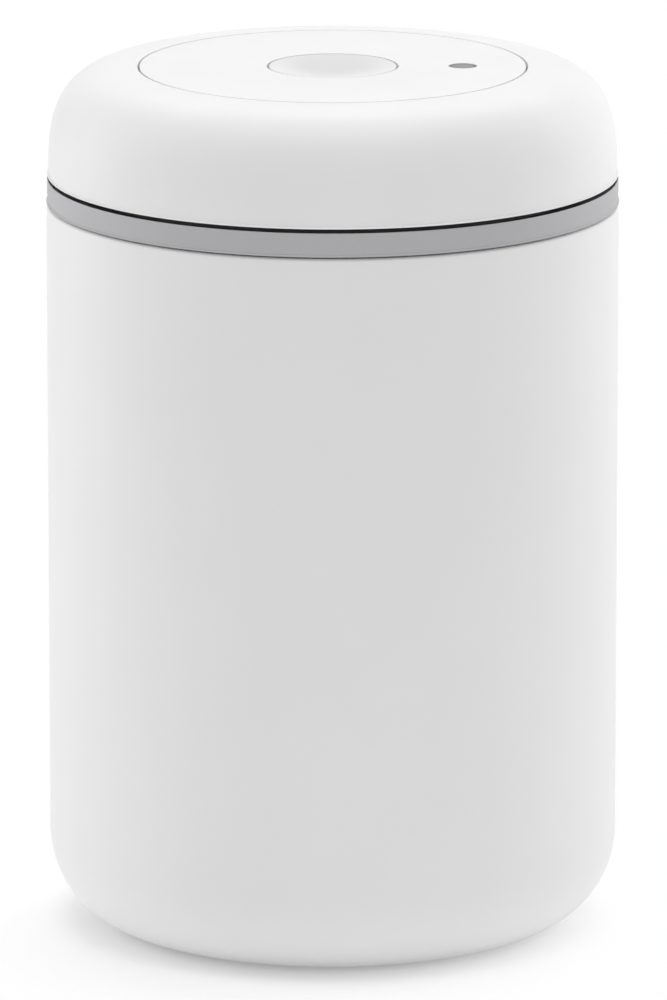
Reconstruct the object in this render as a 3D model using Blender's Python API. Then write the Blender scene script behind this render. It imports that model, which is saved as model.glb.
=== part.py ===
"""Vacuum food canister with a twist-to-pump lid, in metres, standing on z = 0.

A drawn steel can takes a round lid. The white dome of the lid is a grip that turns to and fro round
a fixed top plate. A cam ring under the dome lifts and lowers three small pistons, which draw the air
out of the can. The round button in the middle lets the air back in, and the small dot beside it
sinks while the can holds a vacuum.
"""

import math

import bmesh
import bpy
from mathutils import Matrix, Vector

# Fits, shared by every piece
seat_gap = 0.0003
running_gap = 0.0004
seal_gap = 0.00025
overrun = 0.001
weld_distance = 0.000001

# Faces round a turned piece, by its size
shell_steps = 48
inner_steps = 36
middle_steps = 24
pump_steps = 16
small_steps = 12
tiny_steps = 8
corner_steps = 6
dome_steps = 8
smooth_angle = math.radians(28)

# Can
can_radius = 0.0585
can_height = 0.1502
can_wall = 0.0009
base_corner_reach = 0.0168
base_corner_rise = 0.0189
foot_ring_width = 0.0077
base_recess_depth = 0.0015
base_recess_slope = 0.0030
hem_thickness = 0.0007
hem_depth = 0.0082

# Lid base: the moulded carrier of everything in the lid
band_height = 0.00485
band_thickness = 0.0008
shelf_thickness = 0.0020
plug_gap = 0.0013
skirt_wall = 0.0042
moat_width = 0.0030
drum_wall = 0.0018
floor_thickness = 0.0025
cover_space = 0.0013
cover_thickness = 0.0015
skirt_reach = 0.0012

# Rim gasket
gasket_groove_drop = 0.0012
gasket_groove_height = 0.0060
gasket_groove_depth = 0.0021
gasket_back_thickness = 0.0014

# Pump
pump_count = 3
first_pump_angle = math.radians(60)
pump_lift = 0.0090
pump_turn = math.radians(90)
cylinder_bore_radius = 0.0125
cylinder_wall = 0.0015
cylinder_clear = 0.0036
cylinder_spare = 0.0070
arm_drop_room = 0.00355
arm_thickness = 0.0030
arm_width = 0.0080
arm_top_room = 0.0007
arm_over_cylinder = 0.0013
arm_end_gap = 0.0005
hub_bore_radius = 0.0100
hub_width = 0.0060
lug_radius = 0.0015
lug_grip = 0.0030

# Piston, its ring and its valves
piston_side_gap = 0.0004
piston_wall = 0.0014
piston_floor_thickness = 0.0022
piston_floor_room = 0.0007
piston_boss_radius = 0.0040
piston_stud_radius = 0.0025
piston_stud_head = 0.0007
piston_stud_head_height = 0.0008
ring_groove_depth = 0.0014
ring_groove_height = 0.0026
ring_groove_rise = 0.0010
valve_port_radius = 0.0009
valve_port_count = 4
exhaust_port_circle = 0.0066
exhaust_flap_thickness = 0.0006
exhaust_flap_width = 0.0042
intake_recess_radius = 0.0060
intake_recess_depth = 0.0012
intake_port_circle = 0.0032
intake_flap_radius = 0.0052
intake_flap_thickness = 0.0006
intake_stem_radius = 0.0009
intake_bulb_radius = 0.0015

# Cam ring and glide ring
cam_wall = 0.0038
cam_groove_floor = 0.0012
cam_flange_thickness = 0.0020
cam_catch_overlap = 0.0013
cam_groove_steps = 9
cam_shoulder = 0.0034
glide_thickness = 0.0009
glide_inset = 0.0004

# Dome, which is the grip
dome_gap = 0.00095
dome_setback = 0.0004
dome_wall = 0.0022
dome_curve = 2.93
dome_boss_radius = 0.0032
dome_boss_bite_share = 0.35
dome_under_gap = 0.0005

# Top plate
plate_gap = 0.0004
plate_inset = 0.00725
plate_thickness = 0.0022
plate_skirt_wall = 0.0022
plate_flange_reach = 0.00325
plate_flange_thickness = 0.0016
collar_wall = 0.0014
collar_overlap = 0.0010

# Screws
screw_shank_radius = 0.0013
screw_head_radius = 0.0025
screw_head_height = 0.0016
lid_screw_angle = math.radians(20)
lid_screw_inset = 0.0006
lid_screw_length = 0.0120
post_room = 0.0018
post_wall = 0.0013
post_shelf_thickness = 0.0020
boss_radius = 0.0034
boss_hole_spare = 0.0010
screw_plug_length = 0.0030
cam_screw_shank_radius = 0.0009
cam_screw_head_radius = 0.0018
cam_screw_head_height = 0.0010
cam_screw_bite = 0.0022

# Release button and its valve
button_radius = 0.0130
button_gap = 0.00025
button_travel = 0.0030
button_dish_depth = 0.0015
button_wall = 0.0016
button_lip = 0.0008
button_boss_radius = 0.0042
stem_radius = 0.0020
stem_head_radius = 0.0036
stem_head_height = 0.0007
stem_hole_radius = 0.0032
stem_grip = 0.0018
valve_seal_radius = 0.0050
valve_tube_bore = 0.0052
valve_tube_wall = 0.0028
cover_hole_gap = 0.0015
button_spring_wire = 0.0008
button_spring_turns = 5

# Vacuum indicator
indicator_shift = 0.0002
indicator_radius = 0.0026
indicator_gap = 0.0003
indicator_recess = 0.0001
indicator_travel = 0.0025
indicator_tube_bore = 0.0040
indicator_tube_wall = 0.0015
indicator_port_radius = 0.0010
indicator_neck_radius = 0.0019
indicator_flange_height = 0.0007
indicator_ring_height = 0.0024
indicator_spring_stack = 0.0055
indicator_shoulder_height = 0.0008
indicator_spring_wire = 0.0005
indicator_spring_turns = 5
spring_steps = 9

# Cover slots under each pump
cover_slot_count = 3
cover_slot_length = 0.0100
cover_slot_width = 0.0016
cover_slot_pitch = 0.0034

# Levels worked out from the sizes above, from the ground up
band_bottom = can_height + seat_gap
band_top = band_bottom + band_height
dome_bottom = band_top + dome_gap
arm_bottom = band_top + arm_drop_room
arm_top = arm_bottom + arm_thickness
cylinder_top = arm_bottom - arm_over_cylinder
floor_top = cylinder_top - pump_lift - cylinder_spare
floor_bottom = floor_top - floor_thickness
cover_top = floor_bottom - cover_space
cover_bottom = cover_top - cover_thickness
skirt_bottom = cover_bottom - skirt_reach
flange_bottom = arm_top + pump_lift + arm_top_room
flange_top = flange_bottom + cam_flange_thickness
drum_top = flange_bottom - running_gap
plate_flange_bottom = flange_top + running_gap
plate_flange_top = plate_flange_bottom + plate_flange_thickness
dome_under = plate_flange_top + dome_under_gap
dome_top = dome_under + dome_wall
plate_top = dome_top
plate_bottom = plate_top - plate_thickness
collar_bottom = plate_bottom - button_travel - collar_overlap
button_skirt_bottom = plate_top - button_travel - button_lip
post_top = arm_bottom - post_room
lug_level = arm_bottom + arm_thickness / 2
glide_bottom = band_top + seat_gap
cam_bottom = glide_bottom + glide_thickness + seat_gap

# Radii worked out from the sizes above, from the can inwards
hem_radius = can_radius - can_wall - hem_thickness
plug_radius = hem_radius - plug_gap
skirt_radius = plug_radius - skirt_wall
drum_radius = skirt_radius - moat_width
drum_bore = drum_radius - drum_wall
cam_bore = drum_radius + running_gap
cam_radius = cam_bore + cam_wall
cam_groove_radius = cam_radius - cam_groove_floor
shelf_radius = can_radius - band_thickness - seat_gap
dome_radius = can_radius - dome_setback
plate_radius = drum_bore - plate_inset
plate_flange_radius = plate_radius + plate_flange_reach
dome_opening = plate_radius + plate_gap
flange_bore = plate_flange_radius - cam_catch_overlap
cam_screw_circle = plate_flange_radius + running_gap + dome_boss_radius
lid_screw_circle = plate_radius - boss_radius - lid_screw_inset
cylinder_radius = cylinder_bore_radius + cylinder_wall
pump_circle = drum_bore - cylinder_clear - cylinder_radius
arm_end = drum_bore - arm_end_gap
lug_end = cam_groove_radius - seat_gap
button_hole_radius = button_radius + button_gap
indicator_offset = (button_hole_radius + plate_radius) / 2 + indicator_shift
post_bore = screw_head_radius + seat_gap
post_radius = post_bore + post_wall
lug_slot_radius = lug_radius + seat_gap


def linear(value):
    """Turns one sRGB channel from 0 to 255 into linear light."""
    share = value / 255
    return share / 12.92 if share <= 0.04045 else ((share + 0.055) / 1.055) ** 2.4


def finish(name, red, green, blue, roughness, metallic=0.0):
    """A plain Principled material."""
    material = bpy.data.materials.new(name)
    material.use_nodes = True
    shader = material.node_tree.nodes["Principled BSDF"]
    colour = (linear(red), linear(green), linear(blue), 1.0)
    shader.inputs["Base Color"].default_value = colour
    shader.inputs["Roughness"].default_value = roughness
    shader.inputs["Metallic"].default_value = metallic
    material.diffuse_color = colour
    return material


def clear_scene():
    for leftover in list(bpy.data.objects):
        bpy.data.objects.remove(leftover)


def spun(outline, steps):
    """A closed solid turned round Z from an outline of (radius, height) points.

    An outline that starts and ends on the axis is left open there, and any other is joined up.
    """
    shape = bmesh.new()
    points = [shape.verts.new((radius, 0, height)) for radius, height in outline]
    edges = [shape.edges.new(pair) for pair in zip(points, points[1:])]
    if outline[0][0] > 0 or outline[-1][0] > 0:
        edges.append(shape.edges.new((points[-1], points[0])))
    bmesh.ops.spin(
        shape,
        geom=points + edges,
        axis=(0, 0, 1),
        cent=(0, 0, 0),
        angle=math.tau,
        steps=steps,
        use_merge=True,
    )
    bmesh.ops.remove_doubles(shape, verts=shape.verts, dist=weld_distance)
    bmesh.ops.recalc_face_normals(shape, faces=shape.faces)
    return shape


def tube(inner, outer, bottom, top):
    """The outline of a plain ring, or of a plain rod where the inner radius is zero."""
    return [(inner, bottom), (outer, bottom), (outer, top), (inner, top)]


def box(low, high):
    """A block between two opposite corners."""
    low, high = Vector(low), Vector(high)
    shape = bmesh.new()
    bmesh.ops.create_cube(shape, size=1)
    bmesh.ops.scale(shape, vec=high - low, verts=shape.verts)
    bmesh.ops.translate(shape, vec=(low + high) / 2, verts=shape.verts)
    return shape


def moved(shape, x=0, y=0, turn=0):
    """The same shape after a shift in the plane and then a turn round Z."""
    place = Matrix.Rotation(turn, 4, "Z") @ Matrix.Translation((x, y, 0))
    bmesh.ops.transform(shape, matrix=place, verts=shape.verts)
    return shape


def gathered(name, shapes):
    """One mesh that holds several separate closed shapes."""
    whole = bmesh.new()
    for shape in shapes:
        step = bpy.data.meshes.new(name)
        shape.to_mesh(step)
        shape.free()
        whole.from_mesh(step)
        bpy.data.meshes.remove(step)
    mesh = bpy.data.meshes.new(name)
    whole.to_mesh(mesh)
    whole.free()
    return mesh


def piece(name, mesh, material, body, place=(0, 0, 0)):
    """A visible sub-part on the empty of the body that it moves with."""
    mesh.shade_smooth()
    mesh.set_sharp_from_angle(angle=smooth_angle)
    if not mesh.materials:
        mesh.materials.append(material)
    part = bpy.data.objects.new(name, mesh)
    bpy.context.scene.collection.objects.link(part)
    part.parent = body
    part.location = place
    return part


def tool(name, shapes):
    """A helper mesh for a Boolean, which is no part of the object. Its shapes may overlap."""
    helper = bpy.data.objects.new(name, gathered(name, shapes))
    bpy.context.scene.collection.objects.link(helper)
    helper.hide_render = True
    helper.display_type = "WIRE"
    return helper


def joined(part, name, shapes):
    change = part.modifiers.new(name, "BOOLEAN")
    change.operation = "UNION"
    change.use_self = True
    change.object = tool(name, shapes)


def cut(part, name, shapes):
    change = part.modifiers.new(name, "BOOLEAN")
    change.operation = "DIFFERENCE"
    change.use_self = True
    change.object = tool(name, shapes)


def settled(part):
    """The part's mesh with its Booleans done, for use by its copies."""
    bpy.context.view_layer.update()
    return bpy.data.meshes.new_from_object(part.evaluated_get(bpy.context.evaluated_depsgraph_get()))


def empty(name, parent=None, place=(0, 0, 0)):
    marker = bpy.data.objects.new(name, None)
    bpy.context.scene.collection.objects.link(marker)
    marker.parent = parent
    marker.location = place
    return marker


def round_the_pumps(start=0.0):
    """The angles of one row of three, turned on from the first pump by start."""
    return [first_pump_angle + start + index * math.tau / pump_count for index in range(pump_count)]


def on_circle(radius, angle):
    return (radius * math.cos(angle), radius * math.sin(angle), 0)


def quarter(steps):
    """The angles of a quarter turn, in equal steps."""
    return [index * math.pi / 2 / steps for index in range(steps + 1)]


def rounded_base(inset):
    """The can's lower corner from the foot ring up to the wall, moved in by a wall thickness."""
    centre_radius = can_radius - base_corner_reach
    reach, rise = base_corner_reach - inset, base_corner_rise - inset
    return [
        (centre_radius + reach * math.sin(angle), base_corner_rise - rise * math.cos(angle))
        for angle in quarter(corner_steps)
    ]


def dome_line(radius, top):
    """The dome's curve from its lower edge up to the opening for the top plate."""
    power = 2 / dome_curve
    return [
        (
            dome_opening + (radius - dome_opening) * max(math.cos(angle), 0) ** power,
            dome_bottom + (top - dome_bottom) * math.sin(angle) ** power,
        )
        for angle in quarter(dome_steps)
    ]


def make_can(body, steel):
    foot = can_radius - base_corner_reach
    ring_inner = foot - foot_ring_width
    recess = ring_inner - base_recess_slope
    outside = [(0, base_recess_depth), (recess, base_recess_depth), (ring_inner, 0)]
    outside += rounded_base(0) + [(can_radius, can_height)]
    hem_bottom = can_height - hem_depth
    inside = [
        (hem_radius, can_height),
        (hem_radius, hem_bottom),
        (can_radius - can_wall, hem_bottom - hem_thickness),
    ]
    inside += rounded_base(can_wall)[::-1]
    inside += [
        (ring_inner, can_wall),
        (recess, base_recess_depth + can_wall),
        (0, base_recess_depth + can_wall),
    ]
    outline = outside + inside
    piece("canister_body", gathered("canister_body", [spun(outline, shell_steps)]), steel, body)


def pump_bore():
    """What is cut out for one pump: the cylinder's bore, the valve's recess and its stem hole."""
    recess_floor = floor_top - intake_recess_depth
    stem_hole = intake_stem_radius + seat_gap
    outline = [
        (0, floor_bottom - overrun),
        (stem_hole, floor_bottom - overrun),
        (stem_hole, recess_floor),
        (intake_recess_radius, recess_floor),
        (intake_recess_radius, floor_top),
        (cylinder_bore_radius, floor_top),
        (cylinder_bore_radius, cylinder_top + overrun),
        (0, cylinder_top + overrun),
    ]
    return spun(outline, pump_steps)


def valve_ports(circle, bottom, top, start):
    """The ring of small air holes beside one valve."""
    shapes = []
    for index in range(valve_port_count):
        angle = start + index * math.tau / valve_port_count
        hole = spun(tube(0, valve_port_radius, bottom, top), tiny_steps)
        shapes.append(moved(hole, x=circle, turn=angle))
    return shapes


def make_lid_base(body, plastic):
    shelf_bottom = band_top - shelf_thickness
    groove_top = can_height - gasket_groove_drop
    groove_bottom = groove_top - gasket_groove_height
    groove_radius = plug_radius - gasket_groove_depth
    outline = [
        (0, floor_bottom),
        (drum_radius, floor_bottom),
        (drum_radius, shelf_bottom),
        (skirt_radius, shelf_bottom),
        (skirt_radius, skirt_bottom),
        (plug_radius, skirt_bottom),
        (plug_radius, groove_bottom),
        (groove_radius, groove_bottom),
        (groove_radius, groove_top),
        (plug_radius, groove_top),
        (plug_radius, band_bottom),
        (shelf_radius, band_bottom),
        (shelf_radius, band_top),
        (drum_radius, band_top),
        (drum_radius, drum_top),
        (drum_bore, drum_top),
        (drum_bore, floor_top),
        (0, floor_top),
    ]
    base = piece("lid_base", gathered("lid_base", [spun(outline, inner_steps)]), plastic, body)

    foot = floor_bottom + floor_thickness / 2
    indicator_tube = indicator_tube_bore + indicator_tube_wall
    posts = [
        moved(spun(tube(0, cylinder_radius, foot, cylinder_top), pump_steps), x=pump_circle, turn=angle)
        for angle in round_the_pumps()
    ]
    posts += [
        moved(spun(tube(0, post_radius, foot, post_top), small_steps), x=lid_screw_circle, turn=angle)
        for angle in screw_angles()
    ]
    posts.append(spun(tube(0, valve_tube_bore + valve_tube_wall, foot, post_top), middle_steps))
    posts.append(
        moved(spun(tube(0, indicator_tube, foot, indicator_tube_top()), small_steps), x=indicator_offset)
    )
    joined(base, "lid_base_posts", posts)

    valve_bore = [
        (0, floor_bottom - overrun),
        (stem_hole_radius, floor_bottom - overrun),
        (stem_hole_radius, floor_top),
        (valve_tube_bore, floor_top),
        (valve_tube_bore, post_top + overrun),
        (0, post_top + overrun),
    ]
    indicator_bore = [
        (0, floor_bottom - overrun),
        (indicator_port_radius, floor_bottom - overrun),
        (indicator_port_radius, floor_top),
        (indicator_tube_bore, floor_top),
        (indicator_tube_bore, indicator_tube_top() + overrun),
        (0, indicator_tube_top() + overrun),
    ]
    shank_hole = screw_shank_radius + seat_gap
    screw_bore = [
        (0, floor_bottom - overrun),
        (post_bore, floor_bottom - overrun),
        (post_bore, post_top - post_shelf_thickness),
        (shank_hole, post_top - post_shelf_thickness),
        (shank_hole, post_top + overrun),
        (0, post_top + overrun),
    ]
    bores = [moved(pump_bore(), x=pump_circle, turn=angle) for angle in round_the_pumps()]
    bores += [
        moved(spun(screw_bore, small_steps), x=lid_screw_circle, turn=angle)
        for angle in screw_angles()
    ]
    bores.append(spun(valve_bore, middle_steps))
    bores.append(moved(spun(indicator_bore, small_steps), x=indicator_offset))
    slot_bottom = lug_level - lug_slot_radius
    for angle in round_the_pumps():
        slot = box(
            (drum_bore - overrun, -lug_slot_radius, slot_bottom),
            (drum_radius + overrun, lug_slot_radius, drum_top + overrun),
        )
        bores.append(moved(slot, turn=angle))
    for angle in round_the_pumps():
        bottom, top = floor_bottom - overrun, floor_top - intake_recess_depth / 2
        for port in valve_ports(intake_port_circle, bottom, top, math.pi / pump_steps):
            bores.append(moved(port, x=pump_circle, turn=angle))
    cut(base, "lid_base_bores", bores)


def screw_angles():
    """Where the screws that hold the top plate stand."""
    return [lid_screw_angle + index * math.tau / pump_count for index in range(pump_count)]


def make_band(body, coat):
    outline = tube(can_radius - band_thickness, can_radius, band_bottom, band_top)
    piece("trim_band", gathered("trim_band", [spun(outline, shell_steps)]), coat, body)


def make_gasket(body, rubber):
    back = plug_radius - gasket_groove_depth + seat_gap
    front = back + gasket_back_thickness
    lip = hem_radius - seat_gap
    top = can_height - gasket_groove_drop - seat_gap
    bottom = top - gasket_groove_height + 2 * seat_gap
    height = top - bottom
    lip_shares = ((front, 0.0), (lip, 0.22), (front, 0.5), (lip, 0.78), (front, 1.0))
    outline = [(radius, bottom + height * share) for radius, share in lip_shares]
    outline += [(back, top), (back, bottom)]
    piece("lid_gasket", gathered("lid_gasket", [spun(outline, inner_steps)]), rubber, body)


def make_base_cover(body, plastic):
    outline = tube(valve_seal_radius + cover_hole_gap, skirt_radius - seat_gap, cover_bottom, cover_top)
    cover = piece("base_cover", gathered("base_cover", [spun(outline, inner_steps)]), plastic, body)
    slots = []
    for angle in round_the_pumps():
        for index in range(cover_slot_count):
            middle = pump_circle + (index - (cover_slot_count - 1) / 2) * cover_slot_pitch
            slot = box(
                (middle - cover_slot_width / 2, -cover_slot_length / 2, cover_bottom - overrun),
                (middle + cover_slot_width / 2, cover_slot_length / 2, cover_top + overrun),
            )
            slots.append(moved(slot, turn=angle))
    cut(cover, "base_cover_slots", slots)


def make_top_plate(body, paint):
    inner_skirt = plate_radius - plate_skirt_wall
    outline = [
        (button_hole_radius, collar_bottom),
        (button_hole_radius + collar_wall, collar_bottom),
        (button_hole_radius + collar_wall, plate_bottom),
        (inner_skirt, plate_bottom),
        (inner_skirt, plate_flange_bottom),
        (plate_flange_radius, plate_flange_bottom),
        (plate_flange_radius, plate_flange_top),
        (plate_radius, plate_flange_top),
        (plate_radius, plate_top),
        (button_hole_radius, plate_top),
    ]
    plate = piece("top_plate", gathered("top_plate", [spun(outline, shell_steps)]), paint, body)
    bite = plate_bottom + plate_thickness / 2
    boss_bottom = post_top + seat_gap
    bosses = [
        moved(spun(tube(0, boss_radius, boss_bottom, bite), small_steps), x=lid_screw_circle, turn=angle)
        for angle in screw_angles()
    ]
    hole = indicator_radius + indicator_gap
    guide = spun(tube(0, hole + collar_wall, collar_bottom, bite), middle_steps)
    joined(plate, "top_plate_bosses", bosses + [moved(guide, x=indicator_offset)])

    hole_top = post_top - post_shelf_thickness + lid_screw_length + boss_hole_spare
    shank_hole = screw_shank_radius + seat_gap
    holes = []
    for angle in screw_angles():
        thread = spun(tube(0, shank_hole, boss_bottom - overrun, hole_top), small_steps)
        holes.append(moved(thread, x=lid_screw_circle, turn=angle))
    dot = spun(tube(0, hole, collar_bottom - overrun, plate_top + overrun), middle_steps)
    holes.append(moved(dot, x=indicator_offset))
    cut(plate, "top_plate_holes", holes)


def make_lid_screws(body, steel, rubber):
    """The screws come up from below, and a rubber plug closes each one's shaft against the air."""
    head_top = post_top - post_shelf_thickness - seat_gap
    head_bottom = head_top - screw_head_height
    tip = head_top + lid_screw_length
    outline = [
        (0, head_bottom),
        (screw_head_radius, head_bottom),
        (screw_head_radius, head_top),
        (screw_shank_radius, head_top),
        (screw_shank_radius, tip - screw_shank_radius),
        (0, tip),
    ]
    screw = gathered("lid_screw", [spun(outline, tiny_steps)])
    plug_bottom = floor_bottom + seat_gap
    plug = gathered(
        "screw_plug",
        [spun(tube(0, screw_head_radius, plug_bottom, plug_bottom + screw_plug_length), tiny_steps)],
    )
    for index, angle in enumerate(screw_angles(), 1):
        place = on_circle(lid_screw_circle, angle)
        piece(f"lid_screw_{index}", screw, steel, body, place)
        piece(f"screw_plug_{index}", plug, rubber, body, place)


def make_intake_valves(body, rubber):
    """Umbrella valves, whose stems are pulled through the floor of each cylinder."""
    flap_bottom = floor_top - intake_recess_depth + seat_gap
    bulb_top = floor_bottom - seat_gap
    bulb_bottom = cover_top + seat_gap
    outline = [
        (0, bulb_bottom),
        (intake_stem_radius, bulb_bottom),
        (intake_bulb_radius, bulb_top),
        (intake_stem_radius, bulb_top),
        (intake_stem_radius, flap_bottom),
        (intake_flap_radius, flap_bottom),
        (intake_flap_radius, flap_bottom + intake_flap_thickness),
        (0, flap_bottom + intake_flap_thickness),
    ]
    valve = gathered("intake_valve", [spun(outline, small_steps)])
    for index, angle in enumerate(round_the_pumps(), 1):
        piece(f"intake_valve_{index}", valve, rubber, body, on_circle(pump_circle, angle))


def make_glide_ring(body, plastic):
    outline = tube(
        cam_bore + glide_inset, cam_radius - glide_inset, glide_bottom, glide_bottom + glide_thickness
    )
    piece("glide_ring", gathered("glide_ring", [spun(outline, inner_steps)]), plastic, body)


def make_dome(body, paint):
    outline = dome_line(dome_radius, dome_top)
    outline += dome_line(dome_radius - dome_wall, dome_under)[::-1]
    dome = piece("grip_dome", gathered("grip_dome", [spun(outline, shell_steps)]), paint, body)
    boss_bottom = flange_top + seat_gap
    bite = dome_under + dome_wall * dome_boss_bite_share
    bosses, holes = [], []
    hole_top = flange_top + cam_screw_bite + seat_gap
    for angle in round_the_pumps():
        boss = spun(tube(0, dome_boss_radius, boss_bottom, bite), small_steps)
        bosses.append(moved(boss, x=cam_screw_circle, turn=angle))
        thread = cam_screw_shank_radius + seat_gap
        hole = spun(tube(0, thread, boss_bottom - overrun, hole_top), tiny_steps)
        holes.append(moved(hole, x=cam_screw_circle, turn=angle))
    joined(dome, "grip_dome_bosses", bosses)
    cut(dome, "grip_dome_threads", holes)


def cam_groove(angle):
    """One helical groove, cut from inside, along which a lug of the piston carrier rides.

    It falls as the angle grows, so a turn of the grip to the left lifts the lug.
    """
    margin = lug_slot_radius / cam_groove_radius
    slope = pump_lift / pump_turn
    half = lug_slot_radius / math.cos(math.atan(slope / cam_bore))
    start = angle - pump_turn - margin
    level = lug_level + slope * (pump_turn + margin)
    groove = bmesh.new()
    corners = [
        (cam_bore - overrun, level - half),
        (cam_groove_radius, level - half),
        (cam_groove_radius, level + half),
        (cam_bore - overrun, level + half),
    ]
    points = [groove.verts.new((radius, 0, height)) for radius, height in corners]
    face = groove.faces.new(points)
    sweep = pump_turn + 2 * margin
    bmesh.ops.spin(
        groove,
        geom=points + list(face.edges) + [face],
        axis=(0, 0, 1),
        cent=(0, 0, 0),
        dvec=(0, 0, -slope * sweep / cam_groove_steps),
        angle=sweep,
        steps=cam_groove_steps,
    )
    bmesh.ops.recalc_face_normals(groove, faces=groove.faces)
    return moved(groove, turn=start)


def make_cam_ring(body, plastic):
    outline = [
        (cam_bore, cam_bottom),
        (cam_radius, cam_bottom),
        (cam_radius, drum_top),
        (cam_radius - cam_shoulder, flange_top),
        (flange_bore, flange_top),
        (flange_bore, flange_bottom),
        (cam_bore, flange_bottom),
    ]
    ring = piece("cam_ring", gathered("cam_ring", [spun(outline, inner_steps)]), plastic, body)
    cuts = [cam_groove(angle) for angle in round_the_pumps()]
    for angle in round_the_pumps():
        shank = cam_screw_shank_radius + seat_gap
        head = cam_screw_head_radius + seat_gap
        outline = [
            (0, flange_bottom - overrun),
            (head, flange_bottom - overrun),
            (head, flange_bottom + cam_screw_head_height),
            (shank, flange_bottom + cam_screw_head_height),
            (shank, flange_top + overrun),
            (0, flange_top + overrun),
        ]
        cuts.append(moved(spun(outline, tiny_steps), x=cam_screw_circle, turn=angle))
    cut(ring, "cam_ring_cuts", cuts)


def make_cam_screws(body, steel):
    head_top = flange_bottom + cam_screw_head_height - seat_gap
    outline = [
        (0, flange_bottom),
        (cam_screw_head_radius, flange_bottom),
        (cam_screw_head_radius, head_top),
        (cam_screw_shank_radius, head_top),
        (cam_screw_shank_radius, flange_top + cam_screw_bite),
        (0, flange_top + cam_screw_bite),
    ]
    screw = gathered("cam_screw", [spun(outline, tiny_steps)])
    for index, angle in enumerate(round_the_pumps(), 1):
        piece(f"cam_screw_{index}", screw, steel, body, on_circle(cam_screw_circle, angle))


def make_carrier(body, plastic):
    """The three-armed spider that lifts the pistons together."""
    hub = tube(hub_bore_radius, hub_bore_radius + hub_width, arm_bottom, arm_top)
    carrier = piece("piston_carrier", gathered("piston_carrier", [spun(hub, middle_steps)]), plastic, body)
    arms, lugs, holes = [], [], []
    arm_start = hub_bore_radius + hub_width / 2
    for angle in round_the_pumps():
        arm = box((arm_start, -arm_width / 2, arm_bottom), (arm_end, arm_width / 2, arm_top))
        arms.append(moved(arm, turn=angle))
        lug = spun(tube(0, lug_radius - seat_gap, arm_end - lug_grip, lug_end), small_steps)
        lay_down = Matrix.Translation((0, 0, lug_level)) @ Matrix.Rotation(math.pi / 2, 4, "Y")
        bmesh.ops.transform(lug, matrix=lay_down, verts=lug.verts)
        lugs.append(moved(lug, turn=angle))
        stud_hole = tube(0, piston_stud_radius + seat_gap, arm_bottom - overrun, arm_top + overrun)
        holes.append(moved(spun(stud_hole, small_steps), x=pump_circle, turn=angle))
    joined(carrier, "carrier_arms", arms)
    joined(carrier, "carrier_lugs", lugs)
    cut(carrier, "carrier_holes", holes)


def make_pistons(body, plastic, rubber):
    side = cylinder_bore_radius - piston_side_gap
    bottom = floor_top + piston_floor_room
    floor = bottom + ring_groove_rise + ring_groove_height + piston_floor_thickness / 2
    crown = arm_bottom - seat_gap
    groove_bottom = bottom + ring_groove_rise
    groove_top = groove_bottom + ring_groove_height
    groove_radius = side - ring_groove_depth
    stud_top = arm_top + seat_gap
    head_top = stud_top + piston_stud_head_height
    outline = [
        (0, bottom),
        (side, bottom),
        (side, groove_bottom),
        (groove_radius, groove_bottom),
        (groove_radius, groove_top),
        (side, groove_top),
        (side, crown),
        (side - piston_wall, crown),
        (side - piston_wall, floor),
        (piston_boss_radius, floor),
        (piston_boss_radius, crown),
        (piston_stud_radius, crown),
        (piston_stud_radius, stud_top),
        (piston_stud_radius + piston_stud_head, stud_top),
        (piston_stud_radius, head_top),
        (0, head_top),
    ]
    pattern = piece("piston_1", gathered("piston", [spun(outline, pump_steps)]), plastic, body)
    cut(pattern, "piston_ports", valve_ports(exhaust_port_circle, bottom - overrun, floor + overrun, 0))
    pattern.data = settled(pattern)
    pattern.modifiers.clear()
    ring_outline = tube(
        groove_radius + seat_gap,
        cylinder_bore_radius - seal_gap,
        groove_bottom + seat_gap,
        groove_top - seat_gap,
    )
    flap_inner = piston_boss_radius + seat_gap
    flap_outline = tube(
        flap_inner,
        flap_inner + exhaust_flap_width,
        floor + seat_gap,
        floor + seat_gap + exhaust_flap_thickness,
    )
    ring = gathered("piston_seal", [spun(ring_outline, pump_steps)])
    flap = gathered("exhaust_valve", [spun(flap_outline, small_steps)])
    for index, angle in enumerate(round_the_pumps(), 1):
        place = on_circle(pump_circle, angle)
        if index > 1:
            piece(f"piston_{index}", pattern.data, plastic, body, place)
        piece(f"piston_seal_{index}", ring, rubber, body, place)
        piece(f"exhaust_valve_{index}", flap, rubber, body, place)
    pattern.location = on_circle(pump_circle, first_pump_angle)


def button_under():
    """The level of the button's underside, on which its spring bears."""
    return plate_top - button_dish_depth - button_wall


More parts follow.
